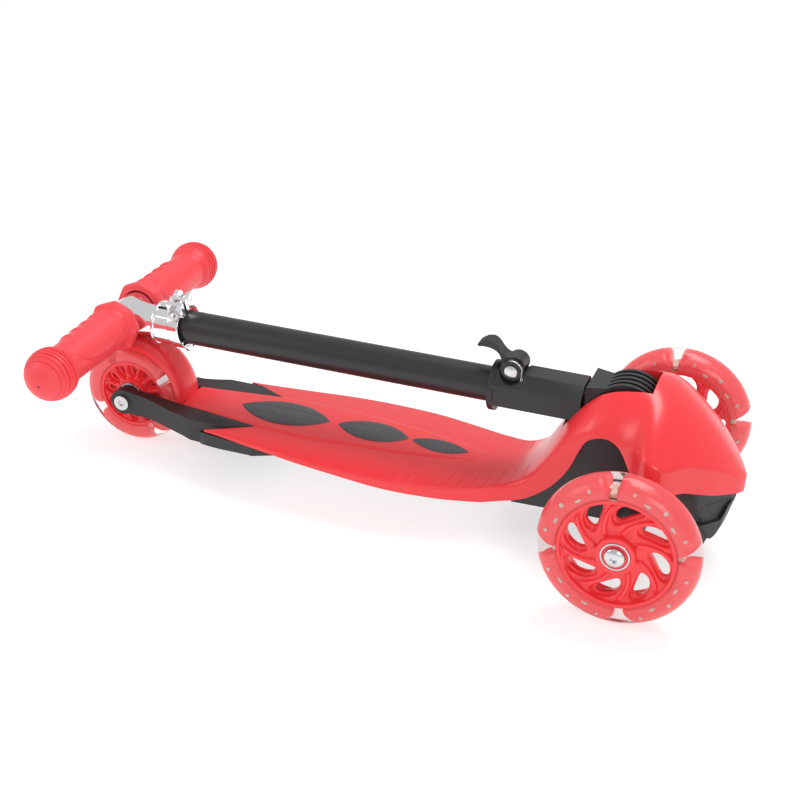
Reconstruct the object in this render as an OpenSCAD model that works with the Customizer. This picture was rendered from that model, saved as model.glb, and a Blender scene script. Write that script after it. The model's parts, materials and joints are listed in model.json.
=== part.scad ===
// Folding three-wheel kick scooter, lying folded on its wheels.
// Lengths are in millimetres. X runs forward, Y to the rider's left and Z up.
// The origin is on the ground at the middle of the outline. Inside the modules,
// X is measured from the front axle and on_frame() moves each piece to the origin.

/* [Overall] */
// Distance between the front axle and the rear axle
wheelbase = 446; // [400:1:540]
// Distance from the front axle to the tip of the nose
nose_reach = 71; // [66:1:80]
// Distance between the middles of the two front wheels
front_track = 220; // [210:1:264]

/* [Wheels] */
// Diameter of each front wheel
front_wheel_d = 120; // [110:1:125]
// Diameter of the rear wheel
rear_wheel_d = 90; // [75:1:92]
// Width of every tyre
tyre_w = 24; // [20:1:26]
// Outside diameter of a wheel bearing
bearing_d = 22; // [19:1:26]
// Width of a wheel bearing
bearing_w = 7; // [5:0.5:8]
// Diameter of the axle bolts
axle_d = 8; // [6:0.5:10]

/* [Deck] */
// Largest width of the standing deck
deck_w = 123; // [110:1:148]
// Height of the middle of the deck above the ground
deck_z = 50; // [48:0.5:54]
// Wall thickness of the deck moulding
deck_wall = 3; // [2.5:0.1:3.6]
// Height of the deck's lower rim above the ground
rim_z = 33; // [30:0.5:36]
// Thickness of the steel plate under the deck
plate_t = 2; // [1.5:0.1:3]

/* [Stem] */
// Height of the folded stem's centre line
stem_z = 113.5; // [112:0.5:116]
// Outside diameter of the outer tube
outer_d = 28; // [26:0.5:30]
// Outside diameter of the sliding inner tube
inner_d = 24; // [20:0.5:24.4]
// Wall thickness of both tubes
tube_wall = 1.3; // [1:0.1:1.5]
// Width of the hinge slot in the nose
slot_w = 39.2; // [38:0.2:46]
// Radius of the ribbed hinge barrel
barrel_r = 25.5; // [24:0.1:26]
// Angle the stem swings through from folded to upright
fold_angle = 80; // [70:1:85]

/* [Handlebar] */
// Distance from the front axle back to the handlebar
bar_reach = 451; // [440:1:470]
// Width over the ends of the two grips
bar_w = 283; // [260:1:340]
// Diameter of the balls at the ends of the grips
ball_d = 42.6; // [38:0.2:48]
// Diameter of the cross bar
bar_d = 22; // [20:0.5:25]

/* [Steering] */
// Tilt of the steering axis above the horizontal
steer_tilt = 35; // [30:1:40]
// Diameter of the steering bolt
kingpin_d = 10; // [8:0.5:12]

/* [Clearances] */
// Radial clearance of every pin that turns in a bore
run_gap = 0.05; // [0.02:0.01:0.1]
// Gap between curved pieces that pass each other
free_gap = 0.3; // [0.2:0.05:0.5]

/* [Hidden] */
$fn = 64;
tiny = 0.01;
front_r = front_wheel_d/2;
rear_r = rear_wheel_d/2;
rear_x = -wheelbase;
axle_x = (nose_reach + wheelbase + rear_r)/2 - nose_reach;
half_track = front_track/2;
hub_w = tyre_w + 2;
hinge = [-22.5, stem_z + 1.5];
slot_front_x = -2.5;
// The deck's plan, from the rear forward
tongue_x = rear_x + rear_r + 8;
wing_x = rear_x + 87;
notch_x = rear_x + 124.5;
foot_x = -122;
function along(t) = wing_x + t*(foot_x - wing_x);
half_w = deck_w/2;
plan_points = [[tongue_x, 0.75*half_w], [wing_x, 0.77*half_w], [along(0.19), 0.865*half_w],
  [along(0.46), 0.99*half_w], [along(0.71), half_w], [along(0.88), 0.9*half_w], [foot_x, 0.76*half_w],
  [-106, 41], [-90, 39.5], [-70, 39.5], [-50, 41.5], [-34, 44], [-20, 47], [-8, 54], [2, 66], [10, 69],
  [18, 67], [26, 59], [35, 48.5], [50, 33], [60, 21], [nose_reach - 3, 11], [nose_reach, 5]];
// Height of the middle of the moulding's top
top_points = [[tongue_x, deck_z], [along(0.46), deck_z], [along(0.71), deck_z - 1],
  [foot_x - 12, deck_z - 2.2], [-108, deck_z + 0.5], [-96, 57], [-86, 69], [-77, 85], [-68, 101],
  [-58, 116], [-49, 127], [-40, 135.5], [-30, 140.5], [-18, 143], [-4, 143.2], [8, 139.5], [22, 130.5],
  [36, 118.5], [50, 103.5], [60, 91.5], [nose_reach, 77]];
// How far the sides of the top lie below its middle
drop_points = [[tongue_x, 2.4], [wing_x, 2.6], [along(0.46), 4.4], [along(0.88), 4.2], [-108, 2.8],
  [-96, 4], [-86, 8], [-76, 12.5], [-60, 15], [-46, 21], [-34, 28], [-20, 32.5], [-4, 34], [8, 32],
  [20, 29], [35, 18], [50, 9.5], [60, 4.5], [nose_reach, 1.5]];
// Height of the moulding's lower rim
rim_points = [[tongue_x, rim_z + 4], [wing_x, rim_z + 3], [along(0.46), rim_z], [-112, rim_z],
  [-98, 36.5], [-84, 43], [-74, 53], [-64, 67], [-54, 86], [-44, 103], [-33, 108.5], [-24, 107.5],
  [-16, 102], [-8, 91], [0, 82], [10, 80], [30, 81], [40, 77], [54, 71], [nose_reach, 66]];
// A smooth height or width y(x) through the points of a list: a cubic between each two
function part_of(p, x, i = 0) = i >= len(p) - 2 || x < p[i + 1][0] ? i : part_of(p, x, i + 1);
function steep(p, i) = let(a = p[max(i - 1, 0)], b = p[min(i + 1, len(p) - 1)]) (b[1] - a[1])/(b[0] - a[0]);
function smooth(p, x) =
  let(i = part_of(p, x), a = p[i], b = p[i + 1], h = b[0] - a[0], t = min(1, max(0, (x - a[0])/h)))
  a[1] + (b[1] - a[1])*t*t*(3 - 2*t) + h*t*(1 - t)*(steep(p, i)*(1 - t) - steep(p, i + 1)*t);
function slope(p, x) = smooth(p, x + 0.5) - smooth(p, x - 0.5);
function plan_at(x) = smooth(plan_points, x);
function wall_at(p, x) = deck_wall*sqrt(1 + pow(slope(p, x), 2));
crown = 1.8;
function top_at(x, y) = smooth(top_points, x) - smooth(drop_points, x)*pow(min(1, abs(y)/plan_at(x)), crown);
function under_at(x, y) = top_at(x, y) - wall_at(top_points, x);
// Sizes that several modules share
pin_d = 8;
slot_wall = 3;
slot_out = slot_w/2 + slot_wall + 0.5;
bracket_z = 86;
cheek_w = 31;
bracket_t = 3;
bracket_x = 15;
cam_r = 13;
cam_w = 8;
rib_w = 3.4;
socket_w = 38;
socket_top = 17.5 + stem_z;
socket_bottom = stem_z - 13.5;
socket_front_x = -56;
collar_x = -130;
block_x = -53;
spigot_l = 40;
tube_end_x = 30 - bar_reach;
pivot = [-113.3, socket_top + 2];
rod_d = 8;
rod_z = stem_z + 1.5;
rod_back_x = pivot[0] - 8;
trigger_w = 20;
kingpin_l = 36;
hub_l = 28;
bushing_l = 5.7;
beam_d = 24;
axle_bolt_l = 67;
arm_gap = 35;
arm_t = 8.5;
brake_pivot = [tongue_x + 1.5, 40];
fender_gap = 2.5;
fender_t = 4;
fender_w = 34;
clamp_w = 23;
clamp_x = tube_end_x + clamp_w/2;
bolt_x = tube_end_x + 21;
ear_w = 14;
clamp_turn = 20;
slit_turn = -24;
clamp_out = 21.5;
T_d = 29;
grip_in = 18.5;
tube_in_x = 271 - bar_reach;

module on_frame() translate([axle_x, 0, 0]) children();
// A cylinder along +Y whose middle is at [x, y, z]
module across(r, l, x = 0, z = 0, y = 0) translate([x, y, z]) rotate([90, 0, 0]) cylinder(r = r, h = l, center = true);
// A cylinder along +X that starts at x
module forward(r, l, x = 0, z = 0, y = 0) translate([x, y, z]) rotate([0, 90, 0]) cylinder(r = r, h = l);
// An outline in X and Z given a width w along Y
module slab(w, y = 0) translate([0, y + w/2, 0]) rotate([90, 0, 0]) linear_extrude(w) children();
// A block between two corners
module block(a, b) translate(a) cube(b - a);
module mirrored() { children(); mirror([0, 1, 0]) children(); }
// The steering axis as the X axis, with the front axle's middle at the origin
module on_steer() translate([0, 0, front_r]) rotate([0, -steer_tilt, 0]) children();
function arc(c, r, a, b, n) = [for (i = [0 : n]) let(t = a + (b - a)*i/n) [c[0] + r*cos(t), c[1] + r*sin(t)]];

// ---- Deck ----
function shell_ring(x) =
  let(w = plan_at(x), v = max(0.5, w - wall_at(plan_points, x)), rim = smooth(rim_points, x), n = 6)
  concat([for (j = [-n : n]) [x, j/n*w, top_at(x, j/n*w)]], [[x, w, rim], [x, v, rim]],
    [for (j = [n : -1 : -n]) [x, j/n*v, max(under_at(x, j/n*v), rim + 1)]], [[x, -v, rim], [x, -w, rim]]);
shell_x = concat([for (i = [0 : 2]) tongue_x + i*(wing_x - tongue_x)/2], [for (i = [1 : 9]) along(i/9)],
  [for (x = [-112 : 8 : 60]) x], [nose_reach - 5, nose_reach - 2, nose_reach]);
// A ring's own face, cut into triangles between its outer and its inner edge
cap_faces = concat([[14, 13, 12], [15, 14, 12], [29, 28, 27], [0, 29, 27]],
  [for (i = [0 : 11]) each [[26 - i, i + 1, i], [27 - i, 26 - i, i]]]);
module shell_loft() {
  rings = [for (x = shell_x) shell_ring(x)];
  n = len(rings[0]);
  last = (len(rings) - 1)*n;
  polyhedron(points = [for (r = rings) for (p = r) p],
    faces = concat(cap_faces, [for (f = cap_faces) [last + f[2], last + f[1], last + f[0]]],
      [for (k = [0 : len(rings) - 2]) for (i = [0 : n - 1]) let(j = (i + 1)%n)
        each [[k*n + j, (k + 1)*n + i, k*n + i], [(k + 1)*n + j, (k + 1)*n + i, k*n + j]]]));
}
// One wall of the hinge slot, tied to the underside of the top
module slot_side() slab(slot_wall, slot_w/2 + slot_wall/2)
  polygon(concat([[slot_front_x + 3, 92], [-64, 92]],
    [for (x = [-64 : 4 : slot_front_x + 3]) [x, under_at(x, slot_w/2 + slot_wall) + 1.5]]));
module slot_cut() {
  block([-100, -slot_w/2, socket_bottom - 1], [hinge[0], slot_w/2, 160]);
  across(barrel_r + 0.7, slot_w, hinge[0], hinge[1]);
  block([hinge[0], -slot_w/2, hinge[1] + 12], [slot_front_x, slot_w/2, 160]);
}
notch_in = 17.35;
notch_tip = 28.1;
module rear_notch(grow = 0) translate([0, 0, 20]) linear_extrude(60)
  polygon([[tongue_x - 20, notch_in - grow], [tongue_x, notch_in - grow], [notch_x + grow, notch_tip - grow],
    [notch_x + grow, notch_tip + grow], [wing_x + grow, 0.77*half_w + grow], [wing_x + grow, half_w], [tongue_x - 20, half_w]]);
screw_x = [along(0.22), along(0.95)];
boss_r = 5;
screw_r = 2;
head_r = 3.9;
module deck_shell() color("#f8484c") on_frame() difference() {
  union() {
    shell_loft();
    mirrored() slot_side();
    mirrored() for (y = [14, 34]) block([along(0.3), y - 1.2, rim_z], [along(0.92), y + 1.2, deck_z - 4]);
    for (x = screw_x) for (s = [-1, 1]) translate([x, s*24, rim_z]) cylinder(r = boss_r, h = deck_z - 4 - rim_z);
  }
  slot_cut();
  mirrored() rear_notch();
  for (x = screw_x) for (s = [-1, 1]) translate([x, s*24, rim_z - 1]) cylinder(r = screw_r + run_gap, h = 11);
}
module pad(a, b, w) color("#55555c") on_frame() {
  r = (pow((b - a)/2, 2) + w*w)/(2*w);
  mid = (a + b)/2;
  translate([mid, 0, top_at(mid, 0) + 0.4]) rotate([0, -atan(slope(top_points, mid)), 0]) linear_extrude(1.2)
    intersection_for(s = [-1, 1]) translate([0, s*(r - w)]) circle(r = r);
}
module pad_rear() pad(along(0.05), along(0.388), 19);
module pad_middle() pad(along(0.418), along(0.68), 15.5);
module pad_front() pad(along(0.69), along(0.895), 10);
module deck_plate() color("silver") on_frame() difference() {
  block([notch_x + 4, -37, rim_z - plate_t], [foot_x + 10, 37, rim_z - free_gap/3]);
  for (x = screw_x) for (s = [-1, 1]) translate([x, s*24, rim_z - plate_t])
    cylinder(r1 = head_r + run_gap, r2 = screw_r + run_gap, h = plate_t);
}
module deck_screws() color("silver") on_frame() for (x = screw_x) for (s = [-1, 1]) translate([x, s*24, rim_z - plate_t]) {
  cylinder(r1 = head_r, r2 = screw_r, h = plate_t);
  cylinder(r = screw_r, h = 11);
}

// ---- Black moulding under the nose, which carries the hinge and the steering bolt ----
housing_w = 72;
function housing_roof(x) = min(under_at(x, housing_w/2), under_at(x + 3, housing_w/2)) - 1;
housing_points = concat([[foot_x + 11, rim_z + 1], [-104, rim_z + 1], [-86, 37], [-70, 40], [-20, 40], [10, 30],
  [38, 24], [48, 24], [58, 46], [64, 63], [62, 70], [52, 80], [44, 86]],
  [for (x = [34 : -6 : -110]) [x, min(106, housing_roof(x))]], [[foot_x + 11, rim_z + 8]]);
function shrink_plan(g) = [for (x = [foot_x + 11 : 6 : 64])
  [x, max(3, min(housing_w/2, plan_at(x) - 1.6*wall_at(plan_points, x)) - g)]];
module housing_plan(g) linear_extrude(170) polygon(concat(shrink_plan(g), [[65 - g, 3], [65 - g, -3]],
  [for (p = [for (i = [len(shrink_plan(g)) - 1 : -1 : 0]) shrink_plan(g)[i]]) [p[0], -p[1]]]));
module front_housing() color("#2c2b2f") on_frame() difference() {
  union() {
    difference() {
      intersection() {
        slab(housing_w) polygon(housing_points);
        housing_plan(0);
      }
      intersection() {
        slab(housing_w) polygon([[-84, 20], [-84, 40], [-72, 53], [-63, 67], [-54, 80], [-44, 91], [-36, 82], [-8, 82],
          [0, 98], [30, 92], [42, 84], [56, 70], [54, 52], [44, 30], [40, 20]]);
        housing_plan(4);
      }
    }
    // Two bridges that hold the steering bolt
    on_steer() for (s = [-1, 1]) translate([s*(hub_l/2 + bushing_l + 7), 0, 0]) {
      cube([14, housing_w - 6, 20], center = true);
      rotate([0, 90, 0]) cylinder(r = 12, h = 14, center = true);
    }
  }
  block([-100, -slot_out, bracket_z], [slot_front_x + 6.5, slot_out, 160]);
  across(barrel_r + 0.7, slot_w, hinge[0], hinge[1]);
  on_steer() {
    translate([0, 0, -25]) cube([beam_d + 4, housing_w + 10, 94], center = true);
    rotate([0, 90, 0]) cylinder(r = kingpin_d/2 + run_gap, h = 90, center = true);
    for (s = [-1, 1]) translate([s*(kingpin_l + 8), 0, 0]) rotate([0, 90, 0]) cylinder(r = 9.3, h = 16, center = true);
  }
  for (s = [-1, 1]) translate([-16, s*9, 70]) cylinder(r = 2 + run_gap, h = 20);
  // Shallow recess on each side of the bumper
  mirrored() difference() {
    block([38, 5, 46], [60, 60, 62]);
    housing_plan(1.6);
  }
}
module hinge_bracket() color("#8f9194") on_frame() difference() {
  union() {
    for (s = [-1, 1]) slab(bracket_t, s*(cheek_w/2 + 0.2 + bracket_t/2)) {
      translate(hinge) circle(r = bracket_x);
      polygon([[hinge[0] - bracket_x, hinge[1]], [hinge[0] + bracket_x, hinge[1]], [hinge[0] + 22, bracket_z + free_gap/2],
        [hinge[0] - 13, bracket_z + free_gap/2]]);
    }
    block([hinge[0] - 13, -cheek_w/2 - 0.2 - bracket_t, bracket_z + free_gap/2],
      [hinge[0] + 22, cheek_w/2 + 0.2 + bracket_t, bracket_z + 2.7]);
  }
  across(pin_d/2 + run_gap, 60, hinge[0], hinge[1]);
  for (s = [-1, 1]) translate([-16, s*9, 70]) cylinder(r = 2.5, h = 25);
}
module hinge_pin() color("silver") on_frame() {
  across(pin_d/2, cheek_w + 2*bracket_t + 0.6, hinge[0], hinge[1]);
  for (s = [-1, 1]) across(5.2, 0.5, hinge[0], hinge[1], s*(cheek_w/2 + bracket_t + 0.5));
}
// Disc on the hinge pin, with the notch that holds the stem upright
module lock_cam() color("#9a9a9c") on_frame() difference() {
  across(cam_r, cam_w, hinge[0], hinge[1]);
  across(pin_d/2, 20, hinge[0], hinge[1]);
  translate([hinge[0], 0, hinge[1]]) rotate([0, fold_angle, 0])
    block([-cam_r - 1, -10, -rod_d/2 - free_gap], [-cam_r + 4.5, 10, rod_d/2 + free_gap]);
}
module kingpin() color("silver") on_frame() on_steer() {
  forward(kingpin_d/2, 2*kingpin_l, -kingpin_l);
  forward(8, 6, kingpin_l - 1.9);
  rotate([0, 90, 0]) translate([0, 0, -kingpin_l - 4]) cylinder(r = 8.5, h = 6, $fn = 6);
}
module steering_bushings() color("#3a3a3a") on_frame() on_steer() for (s = [0, 1]) mirror([s, 0, 0]) difference() {
  forward(12, bushing_l - 0.3, hub_l/2 + 0.2);
  forward(kingpin_d/2 + run_gap, 40, hub_l/2 - 5);
}

// ---- Truck ----
module truck_beam() color("#2f2f33") on_frame() difference() {
  union() {
    across(beam_d/2, front_track - 40, 0, front_r);
    for (s = [-1, 1]) across(7.5, 16, 0, front_r, s*(half_track - hub_w/2 - 8.1));
    on_steer() forward(15, hub_l, -hub_l/2);
  }
  on_steer() forward(kingpin_d/2 + run_gap, 60, -30);
  for (s = [-1, 1]) across(axle_d/2 + run_gap, 46, 0, front_r, s*(half_track - hub_w/2 - 20));
}
module axle_bolts() color("silver") on_frame() for (s = [-1, 1]) {
  out = half_track + hub_w/2;
  across(axle_d/2, axle_bolt_l, 0, front_r, s*(out - axle_bolt_l/2));
  difference() {
    across(7.6, 3.6, 0, front_r, s*(out + 1.9));
    across(2.6, 3, 0, front_r, s*(out + 3.4));
  }
}

// ---- Wheels, each in its own frame with its axle along Z ----
function round_profile(r, w, hole) = concat([[hole, -w/2 + 1]], [[r - w/2 + 4, -w/2]],
  arc([r - w/2 + 2, 0], w/2 - 2 + tiny, -78, 78, 14), [[r - w/2 + 4, w/2]], [[hole, w/2 - 1]]);
module tyre(r, core) difference() {
  rotate_extrude($fn = 96) polygon(round_profile(r, tyre_w, core));
  cylinder(r = core + 2.4, h = 9, center = true);
}
function drop_shape(r, half) = concat(arc([r, 0], half, -115, 115, 10), [[r - 2.7*half, half*0.15]]);
module rim(core, holes, hole_r, half) difference() {
  union() {
    difference() {
      cylinder(r = core - 0.05, h = tyre_w - 3, center = true);
      for (s = [0, 1]) mirror([0, 0, s]) translate([0, 0, 4]) difference() {
        cylinder(r = core - 3.4, h = 20);
        cylinder(r = bearing_d/2 + 3, h = 20);
      }
    }
    cylinder(r = bearing_d/2 + 3, h = hub_w - 0.6, center = true);
    for (i = [0 : holes - 1]) rotate(360/holes*(i + 0.5)) translate([bearing_d/2 + 2, -1.1, -8]) cube([core - bearing_d/2 - 5, 2.2, 16]);
  }
  cylinder(r = bearing_d/2, h = 60, center = true);
  for (i = [0 : holes - 1]) rotate(360/holes*i) linear_extrude(60, center = true) polygon(drop_shape(hole_r, half));
}
module light_ring(core) {
  difference() {
    cylinder(r = core + 2, h = 3, center = true);
    cylinder(r = core + 0.1, h = 9, center = true);
  }
  for (i = [0 : 3]) rotate(90*i + 12) translate([core + 1.1, 0, 0]) cube([1.6, 5, 7], center = true);
}
module bearings() for (s = [-1, 1]) translate([0, 0, s*(hub_w/2 - bearing_w/2)]) difference() {
  cylinder(r = bearing_d/2 - 0.02, h = bearing_w, center = true);
  cylinder(r = axle_d/2 + run_gap, h = 20, center = true);
  for (t = [-1, 1]) translate([0, 0, t*bearing_w/2]) difference() {
    cylinder(r = bearing_d/2 - 1.4, h = 1, center = true);
    cylinder(r = axle_d/2 + 1.4, h = 2, center = true);
  }
}
module spacer(r) difference() {
  cylinder(r = r, h = hub_w - 2*bearing_w - 0.2, center = true);
  cylinder(r = axle_d/2 + run_gap, h = 60, center = true);
}
front_core = 0.735*front_r;
rear_core = 0.67*rear_r;
module on_front(s) on_frame() translate([0, s*half_track, front_r]) rotate([-90*s, 0, 0]) children();
module on_rear() on_frame() translate([rear_x, 0, rear_r]) rotate([90, 0, 0]) children();
module front_tyre(s) color("#ff5a5f") on_front(s) tyre(front_r, front_core);
module front_rim(s) color("#f4373c") on_front(s) rim(front_core, 8, front_core - 10.5, 5.6);
module front_light(s) color("#e8e4d8") on_front(s) light_ring(front_core);
module front_bearings(s) color("silver") on_front(s) bearings();
module front_magnet(s) color("#9c9ca0") on_front(s) spacer(7);
module tyre_left() front_tyre(1);
module rim_left() front_rim(1);
module light_ring_left() front_light(1);
module bearings_left() front_bearings(1);
module magnet_left() front_magnet(1);
module tyre_right() front_tyre(-1);
module rim_right() front_rim(-1);
module light_ring_right() front_light(-1);
module bearings_right() front_bearings(-1);
module magnet_right() front_magnet(-1);
module tyre_rear() color("#ff5a5f") on_rear() rotate_extrude($fn = 96) polygon(round_profile(rear_r, tyre_w, rear_core));
module rim_rear() color("#f4373c") on_rear() rim(rear_core, 8, rear_core - 6.5, 2.9);
module bearings_rear() color("silver") on_rear() bearings();
module spacer_rear() color("silver") on_rear() spacer(6.5);

// ---- Rear end ----
arm_r = 11;
fork_front_x = notch_x + 24;
module fork_arm() {
  intersection() {
    slab(80) {
      translate([rear_x, rear_r]) circle(r = arm_r);
      polygon([[rear_x + 2, rear_r + arm_r - 0.2], [rear_x + 48, deck_z - 0.2], [notch_x - 1, deck_z - 0.4],
        [notch_x + 20, deck_z - 8], [notch_x + 24, rim_z + 5], [wing_x + 18, rim_z + 0.2], [wing_x, rim_z - 3],
        [rear_x + 58, rim_z - 1.5], [rear_x + 34, rim_z + 1], [rear_x - 5, rear_r - arm_r + 1.2]]);
    }
    linear_extrude(100) polygon([[rear_x - 20, arm_gap/2], [tongue_x, arm_gap/2 + free_gap],
      [notch_x - 2, notch_tip], [wing_x - 0.5, 0.77*half_w - 0.8], [rear_x + 60, 36], [rear_x + 40, 30.5],
      [rear_x + 22, arm_gap/2 + arm_t], [rear_x - 20, arm_gap/2 + arm_t]]);
  }
}
module rear_fork() color("#2c2b2f") on_frame() difference() {
  union() {
    mirrored() fork_arm();
    // Plate under the deck that ties the arms together
    intersection() {
      slab(120) polygon([[tongue_x + 10, rim_z + 1], [wing_x - 6, rim_z - 2.5], [wing_x + 12, rim_z - 2.2],
        [notch_x + 2, rim_z + 0.2], [fork_front_x, rim_z + 0.2], [fork_front_x, rim_z + 8.5], [tongue_x + 10, rim_z + 8.5]]);
      mirrored() linear_extrude(100) polygon(concat([[tongue_x, 0], [tongue_x + 10, 24], [wing_x - 6, 42]],
        [for (x = [wing_x + 1 : 7 : fork_front_x - 14]) [x, plan_at(x) - deck_wall - 1]],
        [[fork_front_x, 40], [fork_front_x, 0]]));
    }
  }
  for (s = [-1, 1]) translate([screw_x[0], s*24, 0]) cylinder(r = boss_r + free_gap, h = 80);
  across(axle_d/2 + run_gap, 80, rear_x, rear_r);
  across(2.5 + run_gap, 60, brake_pivot[0], brake_pivot[1]);
}
module rear_axle_bolt() color("silver") on_frame() {
  out = arm_gap/2 + arm_t;
  across(axle_d/2, 2*out, rear_x, rear_r);
  difference() {
    across(6.6, 3, rear_x, rear_r, -out - 1.6);
    across(2.5, 3, rear_x, rear_r, -out - 2.8);
  }
  translate([rear_x, out + 0.1, rear_r]) rotate([-90, 0, 0]) cylinder(r = 7, h = 5, $fn = 6);
}
module rear_axle_spacers() color("silver") on_frame() for (s = [-1, 1]) difference() {
  across(6.5, arm_gap/2 - hub_w/2 - 0.2, rear_x, rear_r, s*(arm_gap/2 + hub_w/2)/2);
  across(axle_d/2 + run_gap, 80, rear_x, rear_r);
}
module fender() color("#f8484c") on_frame() difference() {
  union() {
    intersection() {
      difference() {
        across(rear_r + fender_gap + fender_t, fender_w, rear_x, rear_r);
        across(rear_r + fender_gap, fender_w + 2, rear_x, rear_r);
      }
      slab(fender_w + 4) polygon(concat([[rear_x, rear_r]], arc([rear_x, rear_r], 90, 5, 108, 8)));
    }
    intersection() {
      block([brake_pivot[0] - 5.6, -9, brake_pivot[1] - 5], [brake_pivot[0] + 5, 9, deck_z - deck_wall - 0.8]);
      slab(40) polygon([[brake_pivot[0] - 5.6, 30], [brake_pivot[0] + 6, 30], [brake_pivot[0] + 6, 60], [brake_pivot[0] - 5.6, 60]]);
    }
    block([brake_pivot[0] - 5.6, -9, deck_z - deck_wall - 2], [tongue_x - 1.2, 9, deck_z + 4]);
  }
  across(2.5 + run_gap, 60, brake_pivot[0], brake_pivot[1]);
  block([brake_pivot[0] - 4.6, -4, brake_pivot[1] - 6], [brake_pivot[0] + 6, 4, brake_pivot[1] + 4.5]);
}
module brake_pin() color("silver") on_frame() across(2.5, 46, brake_pivot[0], brake_pivot[1]);
// Coils round the brake pin, drawn as one ring
module brake_spring() color("silver") on_frame() difference() {
  across(4, 7, brake_pivot[0], brake_pivot[1]);
  across(2.5 + run_gap, 20, brake_pivot[0], brake_pivot[1]);
}

// ---- Stem ----
module socket_section() polygon([[-socket_w/2, socket_bottom + 5], [-10, socket_bottom], [10, socket_bottom],
  [socket_w/2, socket_bottom + 5], [socket_w/2, socket_top - 9], [9.5, socket_top], [-9.5, socket_top],
  [-socket_w/2, socket_top - 9]]);
module along_x(x, l) translate([x, 0, 0]) rotate([90, 0, 90]) linear_extrude(l) children();
module stem_socket() color("#3c3c40") on_frame() difference() {
  union() {
    along_x(collar_x + 2, socket_front_x - collar_x - 2) socket_section();
    forward(outer_d/2 + 6, 4.5, collar_x, stem_z);
    forward(outer_d/2 - tube_wall - run_gap, spigot_l, collar_x - spigot_l + 1, stem_z);
  }
  // Seat of the knuckle's tenon, and the tunnel of the lock plunger
  block([-76, -12, stem_z - 10], [socket_front_x + 1, 12, stem_z + 13]);
  block([rod_back_x - 6, -8, rod_z - 7], [-75, 8, rod_z + 7]);
  block([pivot[0] - 9.5, -8, rod_z], [pivot[0] + 6, 8, socket_top + 1]);
  for (s = [-1, 1]) across(9.6, 8, pivot[0], pivot[1], s*(trigger_w/2 - 0.4 + 4));
  across(7, trigger_w + 1, pivot[0], pivot[1]);
  across(2.5 + run_gap, 60, pivot[0], pivot[1]);
  block([pivot[0] - 10, -trigger_w/2 - 4, socket_top - 1.5], [pivot[0] + 10, trigger_w/2 + 4, socket_top + 20]);
}
module hinge_knuckle() color("#3c3c40") on_frame() difference() {
  union() {
    across(barrel_r - 4.5, cheek_w, hinge[0], hinge[1]);
    for (i = [-2 : 2]) across(barrel_r, rib_w, hinge[0], hinge[1], i*(cheek_w - rib_w - 0.6)/4);
    translate([0, 0, socket_bottom + 1]) linear_extrude(socket_top + 2.5 - socket_bottom)
      polygon([[block_x, -18.6], [block_x + 12, -15], [block_x + 20, -15], [block_x + 20, 15], [block_x + 12, 15], [block_x, 18.6]]);
    block([-75.5, -11.8, stem_z - 9.8], [block_x + 1, 11.8, stem_z + 12.8]);
  }
  across(pin_d/2 + run_gap, 60, hinge[0], hinge[1]);
  across(cam_r + 0.5, cam_w + 0.6, hinge[0], hinge[1]);
  block([hinge[0] - cam_r - 0.5, -cam_w/2 - 0.3, 80], [hinge[0] + cam_r + 0.5, cam_w/2 + 0.3, hinge[1]]);
  forward(rod_d/2 + 0.08, 60, -77, rod_z);
}
module lock_plunger() color("silver") on_frame() {
  forward(rod_d/2, hinge[0] - cam_r - free_gap - rod_back_x, rod_back_x, rod_z);
  forward(6.6, 3.6, rod_back_x, rod_z);
}
trigger_points = [[pivot[0] - 27.8, pivot[1] + 17.2], [pivot[0] - 27.4, pivot[1] + 19.8], [pivot[0] - 23.5, pivot[1] + 23.6],
  [pivot[0] - 18.5, pivot[1] + 26.4], [pivot[0] - 14, pivot[1] + 26.6], [pivot[0] - 10.4, pivot[1] + 24.6],
  [pivot[0] - 6.3, pivot[1] + 19], [pivot[0] - 2.6, pivot[1] + 16], [pivot[0] + 1.8, pivot[1] + 15.6],
  [pivot[0] + 5.2, pivot[1] + 17.4], [pivot[0] + 9.4, pivot[1] + 16.2], [pivot[0] + 12, pivot[1] + 12.4],
  [pivot[0] + 12, pivot[1] + 7], [pivot[0] + 8, pivot[1] + 2], [pivot[0] - 8, pivot[1] + 1.2],
  [pivot[0] - 9.8, pivot[1] + 6], [pivot[0] - 10.6, pivot[1] + 10.4], [pivot[0] - 13.6, pivot[1] + 13.6],
  [pivot[0] - 19, pivot[1] + 15.6], [pivot[0] - 24.2, pivot[1] + 16.2]];
module latch_trigger() color("#3c3c40") on_frame() difference() {
  union() {
    slab(trigger_w) polygon(trigger_points);
    for (s = [-1, 1]) across(9, 2.6, pivot[0], pivot[1], s*(trigger_w/2 + 1));
    across(6.5, trigger_w, pivot[0], pivot[1]);
    // Two prongs that pull the plunger back
    for (s = [-1, 1]) block([pivot[0] - 4, s*5.8 - 1.3, rod_z], [pivot[0] + 2, s*5.8 + 1.3, pivot[1]]);
  }
  across(2.5 + run_gap, 60, pivot[0], pivot[1]);
  block([pivot[0] - 7.5, -2.6, pivot[1] - 7.5], [pivot[0] + 7.5, 2.6, pivot[1] + 7.5]);
}
module latch_rivet() color("silver") on_frame() {
  across(2.5, trigger_w + 5, pivot[0], pivot[1]);
  for (s = [-1, 1]) across(5.2, 1.8, pivot[0], pivot[1], s*(trigger_w/2 + 3.4));
}
module trigger_spring() color("silver") on_frame() difference() {
  across(4.4, 4.8, pivot[0], pivot[1]);
  across(2.5 + run_gap, 20, pivot[0], pivot[1]);
}
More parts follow.
